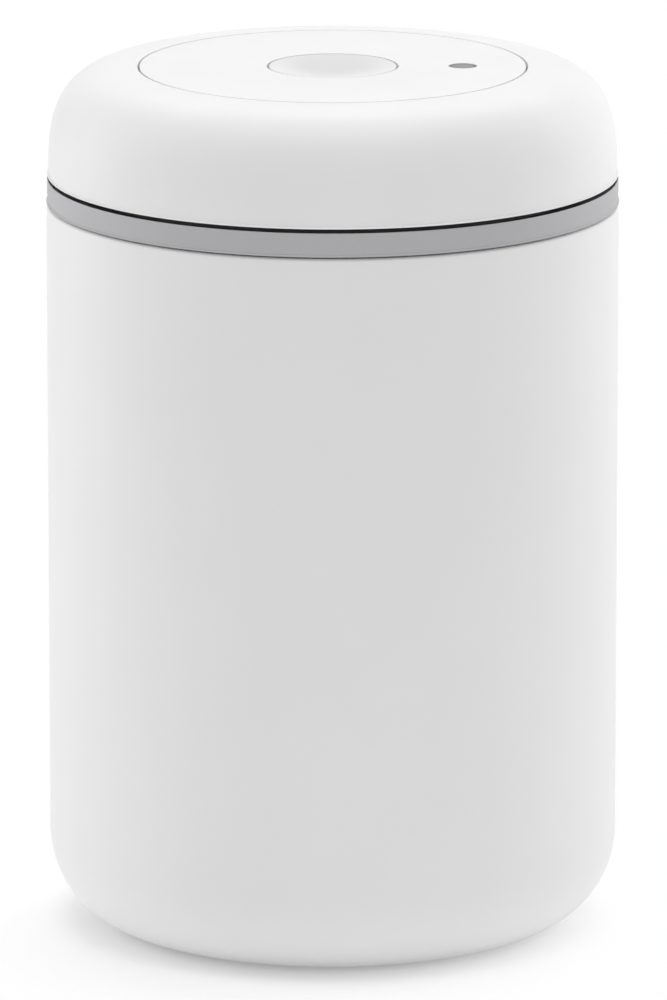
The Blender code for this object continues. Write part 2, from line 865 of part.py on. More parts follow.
def make_button(body, paint, steel, rubber):
    """The dished button, with the rod that it pushes and the seal on the rod's foot."""
    under = button_under()
    stem_top = under - seat_gap
    boss_bottom = under - stem_grip
    dish_shares = ((0.0, 1.0), (0.35, 0.86), (0.62, 0.57), (0.84, 0.22), (0.95, 0.0))
    outline = [(stem_radius + seat_gap, boss_bottom), (button_boss_radius, boss_bottom)]
    outline += [
        (button_boss_radius, under),
        (button_radius - button_wall, under),
        (button_radius - button_wall, button_skirt_bottom),
        (button_radius, button_skirt_bottom),
        (button_radius, plate_top),
    ]
    outline += [
        (button_radius * out, plate_top - button_dish_depth * down) for out, down in dish_shares[::-1]
    ]
    outline[-1] = (0, outline[-1][1])
    outline += [(0, stem_top + seat_gap), (stem_radius + seat_gap, stem_top + seat_gap)]
    button = gathered("release_button", [ring_with_axis(outline, middle_steps)])
    piece("release_button", button, paint, body)

    seal_top = floor_bottom - seat_gap
    head_bottom = cover_bottom - stem_head_height
    seal_bottom = cover_bottom + seat_gap
    stem_outline = [
        (0, head_bottom),
        (stem_head_radius, head_bottom),
        (stem_head_radius, cover_bottom),
        (stem_radius, cover_bottom),
        (stem_radius, stem_top),
        (0, stem_top),
    ]
    piece("valve_stem", gathered("valve_stem", [spun(stem_outline, tiny_steps)]), steel, body)
    seal_outline = tube(stem_radius + seat_gap, valve_seal_radius, seal_bottom, seal_top)
    piece("valve_seal", gathered("valve_seal", [spun(seal_outline, middle_steps)]), rubber, body)


def ring_with_axis(outline, steps):
    """A turned solid whose outline runs along the axis for one stretch and is open nowhere else."""
    first = next(
        index
        for index, (point, following) in enumerate(zip(outline, outline[1:]))
        if point[0] == 0 and following[0] == 0
    )
    return spun(outline[first + 1 :] + outline[: first + 1], steps)


def make_spring(name, body, steel, x, mean_radius, wire, turns, bottom, top):
    """A round-wire compression spring, as one unbroken helix between its two seats."""
    low, high = bottom + seat_gap + wire / 2, top - seat_gap - wire / 2
    count = turns * spring_steps
    curve = bpy.data.curves.new(name, "CURVE")
    curve.dimensions = "3D"
    curve.bevel_depth = wire / 2
    curve.bevel_resolution = 1
    curve.use_fill_caps = True
    line = curve.splines.new("POLY")
    line.points.add(count)
    for index, point in enumerate(line.points):
        angle = index * math.tau / spring_steps
        along = index / count
        point.co = (
            x + mean_radius * math.cos(angle),
            mean_radius * math.sin(angle),
            low + (high - low) * along,
            1,
        )
    curve.materials.append(steel)
    spring = bpy.data.objects.new(name, curve)
    bpy.context.scene.collection.objects.link(spring)
    spring.parent = body


def make_button_spring(body, steel):
    mean_radius = valve_tube_bore + valve_tube_wall / 2
    make_spring(
        "button_spring", body, steel, 0, mean_radius, button_spring_wire, button_spring_turns,
        post_top, button_under(),
    )


def indicator_seat():
    """The level of the spring's upper end, under the indicator's lower flange."""
    return floor_top + indicator_travel + indicator_spring_stack


def indicator_tube_top():
    ring_space = indicator_ring_height + 2 * seat_gap
    return indicator_seat() + 2 * indicator_flange_height + ring_space + indicator_flange_height


def make_indicator(body, paint, rubber):
    seat = indicator_seat()
    flange = indicator_tube_bore - seat_gap
    ring_bottom = seat + indicator_flange_height
    ring_top = ring_bottom + indicator_ring_height + 2 * seat_gap
    shoulder_top = collar_bottom - seat_gap
    shoulder_bottom = shoulder_top - indicator_shoulder_height
    outline = [
        (0, seat),
        (flange, seat),
        (flange, ring_bottom),
        (indicator_neck_radius, ring_bottom),
        (indicator_neck_radius, ring_top),
        (flange, ring_top),
        (flange, ring_top + indicator_flange_height),
        (indicator_neck_radius, ring_top + indicator_flange_height),
        (indicator_neck_radius, shoulder_bottom),
        (flange, shoulder_bottom),
        (flange, shoulder_top),
        (indicator_radius, shoulder_top),
        (indicator_radius, plate_top - indicator_recess),
        (0, plate_top - indicator_recess),
    ]
    piece("indicator_pin", gathered("indicator_pin", [spun(outline, small_steps)]), paint, body)
    ring_outline = tube(
        indicator_neck_radius + seat_gap,
        indicator_tube_bore - seal_gap,
        ring_bottom + seat_gap,
        ring_top - seat_gap,
    )
    ring = gathered("indicator_seal", [spun(ring_outline, small_steps)])
    piece("indicator_seal", ring, rubber, body)


def make_indicator_spring(body, steel):
    mean_radius = indicator_tube_bore - seat_gap - indicator_spring_wire
    make_spring(
        "indicator_spring", body, steel, indicator_offset, mean_radius, indicator_spring_wire,
        indicator_spring_turns, floor_top, indicator_seat(),
    )


def main():
    clear_scene()
    white_paint = finish("white_enamel_on_steel", 244, 244, 243, 0.45)
    white_plastic = finish("white_soft_touch_plastic", 246, 246, 245, 0.50)
    grey_coat = finish("grey_band", 182, 183, 184, 0.45)
    grey_dot = finish("grey_indicator", 160, 160, 160, 0.40)
    grey_plastic = finish("grey_inner_plastic", 120, 122, 124, 0.50)
    dark_rubber = finish("grey_silicone", 92, 94, 96, 0.70)
    slick_plastic = finish("natural_acetal", 236, 234, 226, 0.35)
    bright_steel = finish("stainless_steel", 190, 190, 192, 0.30, 1.0)

    canister = empty("canister")
    lid = empty("lid", canister)
    grip = empty("grip", lid)
    pump = empty("pump", lid)
    button = empty("button", lid)
    indicator = empty("indicator", lid, (indicator_offset, 0, 0))

    make_can(canister, white_paint)
    make_lid_base(lid, white_plastic)
    make_band(lid, grey_coat)
    make_gasket(lid, dark_rubber)
    make_base_cover(lid, white_plastic)
    make_top_plate(lid, white_plastic)
    make_lid_screws(lid, bright_steel, dark_rubber)
    make_intake_valves(lid, dark_rubber)
    make_glide_ring(lid, slick_plastic)
    make_button_spring(lid, bright_steel)
    make_indicator_spring(lid, bright_steel)
    make_dome(grip, white_plastic)
    make_cam_ring(grip, grey_plastic)
    make_cam_screws(grip, bright_steel)
    make_carrier(pump, grey_plastic)
    make_pistons(pump, slick_plastic, dark_rubber)
    make_button(button, white_plastic, bright_steel, dark_rubber)
    make_indicator(indicator, grey_dot, dark_rubber)


main()
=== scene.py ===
"""Dresses the vacuum canister: smooth shells, real finishes and a studio round the fixed frame.

Each operator makes one piece, or one group of like pieces, where the frame has it.
"""

import math

import bmesh
import bpy
from bpy.props import (
    FloatProperty,
    FloatVectorProperty,
    IntProperty,
    PointerProperty,
    StringProperty,
)
from mathutils import Matrix, Vector


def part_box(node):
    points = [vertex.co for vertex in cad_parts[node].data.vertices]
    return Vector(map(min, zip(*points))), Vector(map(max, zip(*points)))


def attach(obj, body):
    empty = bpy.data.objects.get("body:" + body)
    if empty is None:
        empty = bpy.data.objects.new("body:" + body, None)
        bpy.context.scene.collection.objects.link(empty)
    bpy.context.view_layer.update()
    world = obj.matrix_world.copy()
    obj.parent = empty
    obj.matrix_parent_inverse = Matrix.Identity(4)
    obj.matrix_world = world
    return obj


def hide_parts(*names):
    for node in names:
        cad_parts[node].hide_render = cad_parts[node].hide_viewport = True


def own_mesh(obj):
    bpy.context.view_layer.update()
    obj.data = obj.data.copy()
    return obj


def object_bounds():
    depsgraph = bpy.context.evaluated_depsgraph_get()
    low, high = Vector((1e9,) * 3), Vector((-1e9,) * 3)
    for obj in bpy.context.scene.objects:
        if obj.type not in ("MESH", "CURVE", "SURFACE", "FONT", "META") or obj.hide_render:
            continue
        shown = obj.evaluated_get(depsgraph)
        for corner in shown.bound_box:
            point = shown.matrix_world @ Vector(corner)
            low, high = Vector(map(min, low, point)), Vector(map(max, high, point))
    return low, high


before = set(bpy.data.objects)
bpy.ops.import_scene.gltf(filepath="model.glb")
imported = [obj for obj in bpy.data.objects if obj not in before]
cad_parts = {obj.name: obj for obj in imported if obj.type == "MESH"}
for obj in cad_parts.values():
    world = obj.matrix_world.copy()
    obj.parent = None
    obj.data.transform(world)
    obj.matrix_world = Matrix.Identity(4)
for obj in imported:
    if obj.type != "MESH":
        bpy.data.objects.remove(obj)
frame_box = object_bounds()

bl_info = {
    "name": "Vacuum canister",
    "version": (1, 0, 0),
    "blender": (4, 5, 0),
    "location": "3D View > Sidebar > Canister",
    "description": "Makes the shells, finishes and studio of a food canister with a pump lid",
    "category": "Add Mesh",
}

MM = 0.001

# Where the pieces of the frame stand, as (lowest corner, highest corner)
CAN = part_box("canister_body")
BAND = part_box("trim_band")
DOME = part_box("grip_dome")
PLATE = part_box("top_plate")
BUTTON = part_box("release_button")
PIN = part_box("indicator_pin")
PIN_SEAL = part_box("indicator_seal")
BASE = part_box("lid_base")
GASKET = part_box("lid_gasket")
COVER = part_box("base_cover")
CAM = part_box("cam_ring")
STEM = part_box("valve_stem")
STEM_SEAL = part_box("valve_seal")
BUTTON_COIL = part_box("button_spring")
PIN_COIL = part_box("indicator_spring")

PUMPS = ("1", "2", "3")
SMOOTH_ANGLE = math.radians(32)
# Distance within which points count as one
WELD = 0.002 * MM
# How far a tool reaches into what it joins, or past what it cuts
OVERRUN = 1.0 * MM
# Clearance between pieces that fit together
FIT = 0.3 * MM
# Roundings of edges
CRISP, BLUNT, SOFT, ROUNDED = 0.15 * MM, 0.2 * MM, 0.3 * MM, 0.4 * MM

# Faces round the smaller turned forms
BUTTON_STEPS, BORE_STEPS, TUBE_STEPS = 128, 64, 48
POST_STEPS, HOLE_STEPS, PORT_STEPS = 40, 24, 16
# Faces over a rounding, and along the curved outlines
FILLET_STEPS, CORNER_STEPS, DOME_STEPS, DISH_STEPS = 5, 28, 44, 18
# Sides of a spring's wire, and faces along one turn of it
WIRE_SIDES, COIL_STEPS = 12, 28

# The range that most values of a noise texture lie in
NOISE_RANGE = {"From Min": 0.3, "From Max": 0.7}
WHITE = (1, 1, 1, 1)
SENSOR_WIDTH_MM = 36
CLIP_END = 100


def length(name, description, default):
    """A size in metres that a user may change."""
    return FloatProperty(
        name=name, description=description, default=default, unit="LENGTH", precision=5
    )


def rotation(name, description, degrees):
    """An angle that a user may change."""
    return FloatProperty(
        name=name, description=description, default=math.radians(degrees), subtype="ANGLE"
    )


def brightness(name, description, default):
    """A strength that a user may change."""
    return FloatProperty(name=name, description=description, default=default, min=0.0)


def position(name, description, default):
    """A point in metres that a user may change."""
    return FloatVectorProperty(name=name, description=description, default=default, subtype="XYZ")


def colour(name, description, default):
    """A colour as an sRGB hex value."""
    return StringProperty(name=name, description=description, default=default)


class CanisterSizes(bpy.types.PropertyGroup):
    """Sizes of the shells. The frame gives the outer ones."""

    radius: length("Radius", "Outer radius of the can", CAN[1].x)
    height: length("Height", "Height of the can's rim", CAN[1].z)
    wall: length("Wall", "Thickness of the drawn steel", 0.9 * MM)
    corner_reach: length("Corner reach", "How far the lower corner curves in", 16.8 * MM)
    corner_rise: length("Corner rise", "How high the lower corner curves up", 18.9 * MM)
    foot_ring: length("Foot ring", "Width of the flat ring that the can stands on", 7.7 * MM)
    recess_depth: length("Base recess", "How far the middle of the base is drawn up", 1.5 * MM)
    recess_slope: length("Recess slope", "Width of the slope up to the recess", 3.0 * MM)
    hem: length("Hem", "Thickness of the folded rim inside the mouth", 0.7 * MM)
    hem_depth: length("Hem depth", "How far the folded rim reaches down", 8.2 * MM)
    rim_fillet: length("Rim fillet", "Rounding of the can's rim", 0.7 * MM)
    neck: length("Neck", "How far the can draws in under the band", 0.1 * MM)
    neck_height: length("Neck height", "Height over which the can draws in", 3.0 * MM)

    band_wall: length("Band thickness", "Thickness of the grey band", 0.8 * MM)
    band_lip: length("Band lip", "Rounding of the band's upper edge", 0.45 * MM)
    band_rise: length("Band rise", "How far the band stands up into the gap", 0.3 * MM)
    foot_lift: length("Foot lift", "How far the band's foot stands over its place", 0.12 * MM)
    band_flare: length("Band flare", "How far the band's foot turns out", 0.16 * MM)
    band_slope: length("Band slope", "How far the band's top falls away inwards", 0.8 * MM)

    dome_wall: length("Dome wall", "Thickness of the dome", 2.2 * MM)
    dome_curve: FloatProperty(
        name="Dome curve", description="Exponent of the dome's rounded section", default=2.93
    )
    dome_lip: length("Dome lip", "Blunting of the lower edges of dome and band", 0.04 * MM)
    dome_flare: length("Dome flare", "How far the dome's lower edge turns out", 0.22 * MM)
    flare_height: length("Flare height", "Height over which an edge turns out", 1.0 * MM)
    joint_fillet: length("Joint fillet", "Rounding along the joint round the plate", 0.05 * MM)

    plate_radius: length("Plate radius", "Outer radius of the top plate", 39.35 * MM)
    plate_gap: length("Plate gap", "Joint between plate and dome", 0.46 * MM)
    plate_wall: length("Plate thickness", "Thickness of the top plate", 2.2 * MM)
    dish_depth: length("Dish depth", "Depth of the button's dish", 1.5 * MM)
    button_gap: length("Button gap", "Joint round the button", 0.45 * MM)
    dot_radius: length("Dot radius", "Radius of the indicator's top", 2.6 * MM)
    dot_gap: length("Dot gap", "Joint round the indicator", 0.3 * MM)
    # Width of a darker grey ring round the dot's top: painted shade along its joint
    dot_shade_ring: length("Dot sleeve", "Thickness of the rubber sleeve round the dot", 0.38 * MM)
    dot_edge: length("Dot edge", "Blunting of the indicator's top and of its hole", 0.06 * MM)

    # The ledge holds the grey ring of painted shade in the gap under the dome
    ledge_depth: length("Ledge depth", "Depth of the ledge for the dust ring", 1.6 * MM)

    shell_steps: IntProperty(name="Shell steps", description="Faces round a shell", default=192)
    small_steps: IntProperty(name="Small steps", description="Faces round a small rod", default=64)


class CanisterFinishes(bpy.types.PropertyGroup):
    """Colours of the finishes as sRGB hex values, and where shade is painted into the button's
    dish.
    """

    powder_coat: colour("Powder coat", "White coat of the can", "F3F3F3")
    drawn_steel: colour("Drawn steel", "Bare steel inside the can", "C9C8C5")
    white_abs: colour("White ABS", "Moulded white of the dome and the plate", "F4F4F4")
    button_abs: colour("Button ABS", "Moulded white of the button's rim", "F1F1F1")
    # Painted shade: the grey that the button's dish darkens to, a little behind its middle
    dish_shade_grey: colour("Thumbed ABS", "Part of the button that thumbs have dulled", "DCDCDC")
    band_grey: colour("Band", "Satin grey of the band", "BCBCBE")
    dot_grey: colour("Dot", "Grey of the vacuum indicator", "919191")
    inner_nylon: colour("Glass-filled nylon", "Dark moulding of the lid's inside", "4A4B4D")
    silicone: colour("Silicone", "Gasket, plugs and valves", "7C7E81")
    acetal: colour("Acetal", "Slippery natural moulding", "E6E2D6")
    stainless: colour("Stainless steel", "Screws, springs and rod", "BFBFC1")
    # Where the painted shade in the button's dish lies: behind its middle, darkest within the core,
    # gone beyond the reach
    dish_shade_offset: length("Thumb mark", "How far behind its middle the button is dulled", 7 * MM)
    dish_shade_core: length("Thumb core", "Radius inside which it is dulled most", 4 * MM)
    dish_shade_reach: length("Thumb reach", "Radius beyond which it is as moulded", 17 * MM)


class CanisterStudio(bpy.types.PropertyGroup):
    """Camera, lamps and floor."""

    camera_distance: length("Camera distance", "From the can's axis, level", 2.0910)
    camera_height: length("Camera height", "Above the floor", 0.5767)
    camera_pitch: rotation("Camera pitch", "Tilt down", 13.17)
    lens_mm: FloatProperty(name="Lens", description="Focal length on a 36 mm frame", default=375.8)
    shift: FloatProperty(name="Shift", description="Sideways shift of the frame", default=0.0008)
    floor_side: length("Floor side", "Side of the square floor", 24.0)
    ambient: brightness("Ambient", "Strength of the studio's walls", 0.50)
    side_distance: length("Side lamp distance", "From the can's axis, level", 0.80)
    left_angle: rotation("Left angle", "Of the left lamp, round Z from the camera's side", -110)
    left_height: length("Left height", "Of the left lamp", 0.16)
    left_power: brightness("Left power", "Watts of the left lamp", 1.80)
    right_angle: rotation("Right angle", "Of the right lamp, round Z from the camera's side", 118)
    right_height: length("Right height", "Of the right lamp", 0.25)
    right_power: brightness("Right power", "Watts of the right lamp", 1.55)
    rim_angle: rotation("Rim angle", "Of the lamp behind on the right, round Z", 145)
    rim_height: length("Rim height", "Of the lamp behind on the right", 0.25)
    rim_power: brightness("Rim power", "Watts of the lamp behind on the right", 0.40)
    side_width: length("Side lamp width", "Of the three side lamps", 0.4)
    side_tall: length("Side lamp height", "Of the left and right lamps' own faces", 0.7)
    rim_tall: length("Rim lamp height", "Of the rear lamp's own face", 0.5)
    top_place: position("Top lamp", "Where the lamp over the lid hangs", (0, -0.15, 0.95))
    top_power: brightness("Top power", "Watts of the top lamp", 2.60)
    back_place: position("Back lamp", "Where the lamp behind the lid hangs", (0.03, 0.55, 0.85))
    back_power: brightness("Back power", "Watts of the back lamp", 2.00)
    top_width: length("Top lamp width", "Of the top and back lamps", 0.8)
    top_deep: length("Top lamp depth", "Of the top and back lamps", 0.55)
    paper_bright: colour("Paper", "White of the seamless paper", "FAFAFA")
    paper_dim: colour("Paper fibres", "White of the paper's darker fibres", "F8F8F8")
    paper_fibre: length("Paper fibre", "Size of the fibres' pattern", 1.5 * MM)
    paper_glow: brightness("Paper glow", "Light that comes up through the paper", 0.13)
    paper_centre: position(
        "Lit paper centre", "Middle of the patch that shows its shading", (-0.015, -0.004, 0)
    )
    paper_near: length("Lit paper", "Radius inside which the paper shows its shading", 0.04)
    paper_far: length("White paper", "Radius beyond which the paper is the white page", 0.09)


def linear_colour(hex_value):
    """An sRGB hex value as a linear colour with full alpha."""
    channels = [int(hex_value[start : start + 2], 16) / 255 for start in (0, 2, 4)]
    return tuple(
        value / 12.92 if value <= 0.04045 else ((value + 0.055) / 1.055) ** 2.4
        for value in channels
    ) + (1.0,)


def add_node(tree, kind, inputs=None, **settings):
    """Adds a node, and sets its inputs or links them to a node's first output or to a socket."""
    made = tree.nodes.new("ShaderNode" + kind)
    for key, value in settings.items():
        setattr(made, key, value)
    for socket, value in (inputs or {}).items():
        if isinstance(value, bpy.types.Node):
            value = value.outputs[0]
        if isinstance(value, bpy.types.NodeSocket):
            tree.links.new(value, made.inputs[socket])
        else:
            made.inputs[socket].default_value = value
    return made


def blank_material(name):
    """A material with only its output, and its node tree."""
    material = bpy.data.materials.new(name)
    material.use_nodes = True
    tree = material.node_tree
    tree.nodes.clear()
    return material, tree


def mottled(tree, place, size, low, high):
    """A colour that drifts between two, in patches of about this size in metres."""
    noise = add_node(tree, "TexNoise", {"Vector": place, "Scale": 1 / size})
    share = add_node(tree, "MapRange", {"Value": noise, **NOISE_RANGE})
    return add_node(tree, "Mix", {0: share, 6: low, 7: high}, data_type="RGBA").outputs[2]


def beyond(tree, place, centre, near, far):
    """0 nearer to a point than one distance, 1 beyond another, and smooth between them."""
    away = add_node(tree, "VectorMath", {0: place, 1: centre}, operation="DISTANCE")
    limits = {"Value": away.outputs["Value"], "From Min": near, "From Max": far}
    return add_node(tree, "MapRange", limits, interpolation_type="SMOOTHSTEP")


def painted_dish_shade(tree, place, finishes, unshaded, worn):
    """A colour with painted shade in the button's dish, darkest a little behind its middle."""
    level = add_node(tree, "VectorMath", {0: place, 1: (1, 1, 0)}, operation="MULTIPLY")
    centre = (0, finishes.dish_shade_offset, 0)
    share = beyond(tree, level, centre, finishes.dish_shade_core, finishes.dish_shade_reach)
    return add_node(tree, "Mix", {0: share, 6: worn, 7: unshaded}, data_type="RGBA").outputs[2]


def matte(body, low, high, grain=0.35 * MM, strength=0.2, depth=0.012 * MM, ior=1.5, **more):
    """A row of FINISHES for one body colour, in faint clouds, under a fine matte grain."""
    return {
        "colour": body,
        "roughness": (low, high),
        "grain": grain,
        "detail": 3.0,
        "bump": (strength, depth),
        "cloud": (18 * MM, 0.98),
        "shader": {"IOR": ior},
        **more,
    }


# How each surface was made and what that gives the eye. A row has the colour, the size and detail
# of the grain, the range of the roughness, the strength and depth of the bump, and the size of the
# clouds in the colour with how dim they are
FINISHES = {
    # Baked powder coat: an even satin white with a very fine orange peel. The real peel is about
    # 0.3 mm across; 0.7 mm is the finest that a render of the whole can shows
    "powder_coated_steel": matte(
        "powder_coat", 0.47, 0.56, 0.7 * MM, 0.22, 0.02 * MM, cloud=(28 * MM, 0.985)
    ),
    # As it leaves the drawing press: bare, with fine level draw lines
    "drawn_stainless_steel": {
        "colour": "drawn_steel",
        "stretch": (0.02, 0.02, 1.0),
        "grain": 0.5 * MM,
        "detail": 4.0,
        "roughness": (0.30, 0.42),
        "bump": (0.25, 0.02 * MM),
        "shader": {"Metallic": 1.0},
    },
    # Turned, or drawn to wire: bright, with fine marks
    "bright_stainless_steel": {
        "colour": "stainless",
        "grain": 0.25 * MM,
        "detail": 2.0,
        "roughness": (0.22, 0.34),
        "shader": {"Metallic": 1.0},
    },
    # ABS from a spark-eroded mould: a clean white between matte and satin
    "white_moulded_abs": matte("white_abs", 0.44, 0.54),
    # The same ABS, with painted shade in the button's dish, darkest a little behind its middle
    "dish_shaded_white_abs": matte("button_abs", 0.42, 0.50, worn="dish_shade_grey"),
    # From a coarser mould: a grey with hardly any shine
    "satin_moulded_abs": matte("band_grey", 0.54, 0.62, 0.5 * MM),
    # From a mould that was polished after: a smooth mid grey
    "grey_indicator_abs": matte("dot_grey", 0.36, 0.44),
    # Fibres near the skin of the moulding: dark, coarse and dull
    "glass_filled_nylon": matte("inner_nylon", 0.5, 0.66, 0.6 * MM, 0.3, 0.03 * MM, 1.53),
    # Cured rubber: a soft grey without clear highlights
    "moulded_silicone": matte("silicone", 0.55, 0.7, 0.5 * MM, 0.15, 0.01 * MM, 1.41),
    # A slippery plastic in its own colour: creamy, with a sheen
    "natural_acetal": matte("acetal", 0.28, 0.36, 0.5 * MM, 0.1, 0.01 * MM, 1.48),
}


def finish_named(name):
    """The material of this name, made once from its row in FINISHES."""
    if name in bpy.data.materials:
        return bpy.data.materials[name]
    row = FINISHES[name]
    finishes = bpy.context.scene.canister_finishes
    material, tree = blank_material(name)
    place = add_node(tree, "TexCoord").outputs["Object"]
    if "stretch" in row:
        place = add_node(tree, "Mapping", {"Vector": place, "Scale": row["stretch"]})
    scale = 1 / row["grain"]
    grain = add_node(tree, "TexNoise", {"Vector": place, "Scale": scale, "Detail": row["detail"]})
    tint = linear_colour(getattr(finishes, row["colour"]))
    if "cloud" in row:
        size, share = row["cloud"]
        dimmed = tuple(value * share for value in tint[:3]) + (1.0,)
        tint = mottled(tree, place, size, dimmed, tint)
    # Painted shade in the button's dish
    if "worn" in row:
        worn = linear_colour(getattr(finishes, row["worn"]))
        tint = painted_dish_shade(tree, place, finishes, tint, worn)
    low, high = row["roughness"]
    rough = add_node(
        tree, "MapRange", {"Value": grain, **NOISE_RANGE, "To Min": low, "To Max": high}
    )
    inputs = {"Base Color": tint, "Roughness": rough, **row["shader"]}
    if "bump" in row:
        strength, depth = row["bump"]
        inputs["Normal"] = add_node(
            tree, "Bump", {"Height": grain, "Strength": strength, "Distance": depth}
        )
    shader = add_node(tree, "BsdfPrincipled", inputs)
    add_node(tree, "OutputMaterial", {"Surface": shader})
    return material


def rounded(shape, chosen, affect, offset, segments):
    """Rounds these corners or edges of a shape in place."""
    bmesh.ops.bevel(
        shape,
        geom=chosen,
        affect=affect,
        offset=offset,
        offset_type="OFFSET",
        segments=segments,
        profile=0.5,
        material=-1,
    )


def turned(corners, steps):
    """A solid turned round Z from corners of (radius, height, fillet).

    A stretch of the outline that lies on the axis is left out, so the solid closes there.
    """
    shape = bmesh.new()
    points = [shape.verts.new((radius, 0, height)) for radius, height, _ in corners]
    shape.faces.new(points)
    for fillet in sorted({corner[2] for corner in corners if corner[2]}):
        chosen = [point for point, corner in zip(points, corners) if corner[2] == fillet]
        rounded(shape, chosen, "VERTICES", fillet, FILLET_STEPS)
    bmesh.ops.delete(shape, geom=shape.faces[:], context="FACES_ONLY")
    on_axis = [edge for edge in shape.edges if max(abs(point.co.x) for point in edge.verts) < WELD]
    bmesh.ops.delete(shape, geom=on_axis, context="EDGES")
    bmesh.ops.spin(
        shape,
        geom=shape.verts[:] + shape.edges[:],
        axis=(0, 0, 1),
        cent=(0, 0, 0),
        angle=math.tau,
        steps=steps,
        use_merge=True,
    )
    bmesh.ops.remove_doubles(shape, verts=shape.verts, dist=WELD)
    bmesh.ops.recalc_face_normals(shape, faces=shape.faces)
    return shape


def ring(inner, outer, bottom, top, fillet):
    """The corners of a plain ring."""
    sides = ((inner, bottom), (outer, bottom), (outer, top), (inner, top))
    return [(radius, height, fillet) for radius, height in sides]


def block(low, high):
    """A box between two corners."""
    low, high = Vector(low), Vector(high)
    shape = bmesh.new()
    bmesh.ops.create_cube(shape, size=1)
    bmesh.ops.scale(shape, vec=high - low, verts=shape.verts)
    bmesh.ops.translate(shape, vec=(low + high) / 2, verts=shape.verts)
    return shape


def set_at(shape, x=0, turn=0):
    """The shape after a shift along X and then a turn round Z."""
    place = Matrix.Rotation(turn, 4, "Z") @ Matrix.Translation((x, 0, 0))
    bmesh.ops.transform(shape, matrix=place, verts=shape.verts)
    return shape


def peg(steps, bottom, *outline, at=(0, 0)):
    """A rod of one or more radii, as (radius, height where it ends), set at (shift, turn)."""
    corners = [(0, bottom, 0)]
    for radius, top in outline:
        corners += [(radius, corners[-1][1], 0), (radius, top, 0)]
    return set_at(turned(corners + [(0, corners[-1][1], 0)], steps), *at)


def meshed(*shapes):
    """One mesh that holds these shapes side by side."""
    whole = bmesh.new()
    for shape in shapes:
        step = bpy.data.meshes.new("step")
        shape.to_mesh(step)
        shape.free()
        whole.from_mesh(step)
        bpy.data.meshes.remove(step)
    mesh = bpy.data.meshes.new("whole")
    whole.to_mesh(mesh)
    whole.free()
    return mesh


def placed(name, data):
    """An object with this data, in the scene, both under one name."""
    data.name = name
    made = bpy.data.objects.new(name, data)
    bpy.context.scene.collection.objects.link(made)
    return made


def worked(mesh, shapes, operation):
    """The mesh after shapes are joined to it or cut from it."""
    blank, tool = placed("blank", mesh), placed("tool", meshed(*shapes))
    change = blank.modifiers.new("work", "BOOLEAN")
    change.operation = operation
    change.solver = "EXACT"
    change.object = tool
    graph = bpy.context.evaluated_depsgraph_get()
    made = bpy.data.meshes.new_from_object(blank.evaluated_get(graph))
    for helper in (blank, tool):
        spare = helper.data
        bpy.data.objects.remove(helper)
        bpy.data.meshes.remove(spare)
    return made


def shown(name, mesh, material, body, slot, *nodes):
    """A finished piece on its body, in place of nodes of the frame."""
    mesh.materials.clear()
    mesh.materials.append(finish_named(material))
    mesh.shade_smooth()
    mesh.set_sharp_from_angle(angle=SMOOTH_ANGLE)
    part = placed(name, mesh)
    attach(part, body)
    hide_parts(*nodes)
    return part


def quarter(steps):
    """The angles of a quarter turn, in equal steps."""
    return [index * math.pi / 2 / steps for index in range(steps + 1)]


def middle(box):
    """The centre of a node's box, as (distance from the axis, angle round it)."""
    centre = (box[0] + box[1]) / 2
    return math.hypot(centre.x, centre.y), math.atan2(centre.y, centre.x)


def corner_line(sizes, inset):
    """The can's lower corner, from the foot ring up to the wall."""
    centre = sizes.radius - sizes.corner_reach
    reach, rise = sizes.corner_reach - inset, sizes.corner_rise - inset
    return [
        (centre + reach * math.sin(angle), sizes.corner_rise - rise * math.cos(angle), 0)
        for angle in quarter(CORNER_STEPS)
    ]


def dome_line(opening, radius, bottom, top, curve):
    """The dome's section, from its lower edge up to the opening."""
    power = 2 / curve
    return [
        (
            opening + (radius - opening) * max(math.cos(angle), 0) ** power,
            bottom + (top - bottom) * math.sin(angle) ** power,
            0,
        )
        for angle in quarter(DOME_STEPS)
    ]


def flared(radius, bottom, flare, height, blunt):
    """The lower end of an outer wall, which draws in a little and turns out to a sharp lip."""
    cove = ((1.0, 0.02), (-0.6, 0.34), (-0.45, 0.8), (0.0, 1.8))
    corners = [(radius + flare * out, bottom + height * up, 0) for out, up in cove]
    return [(radius + flare, bottom, blunt)] + corners


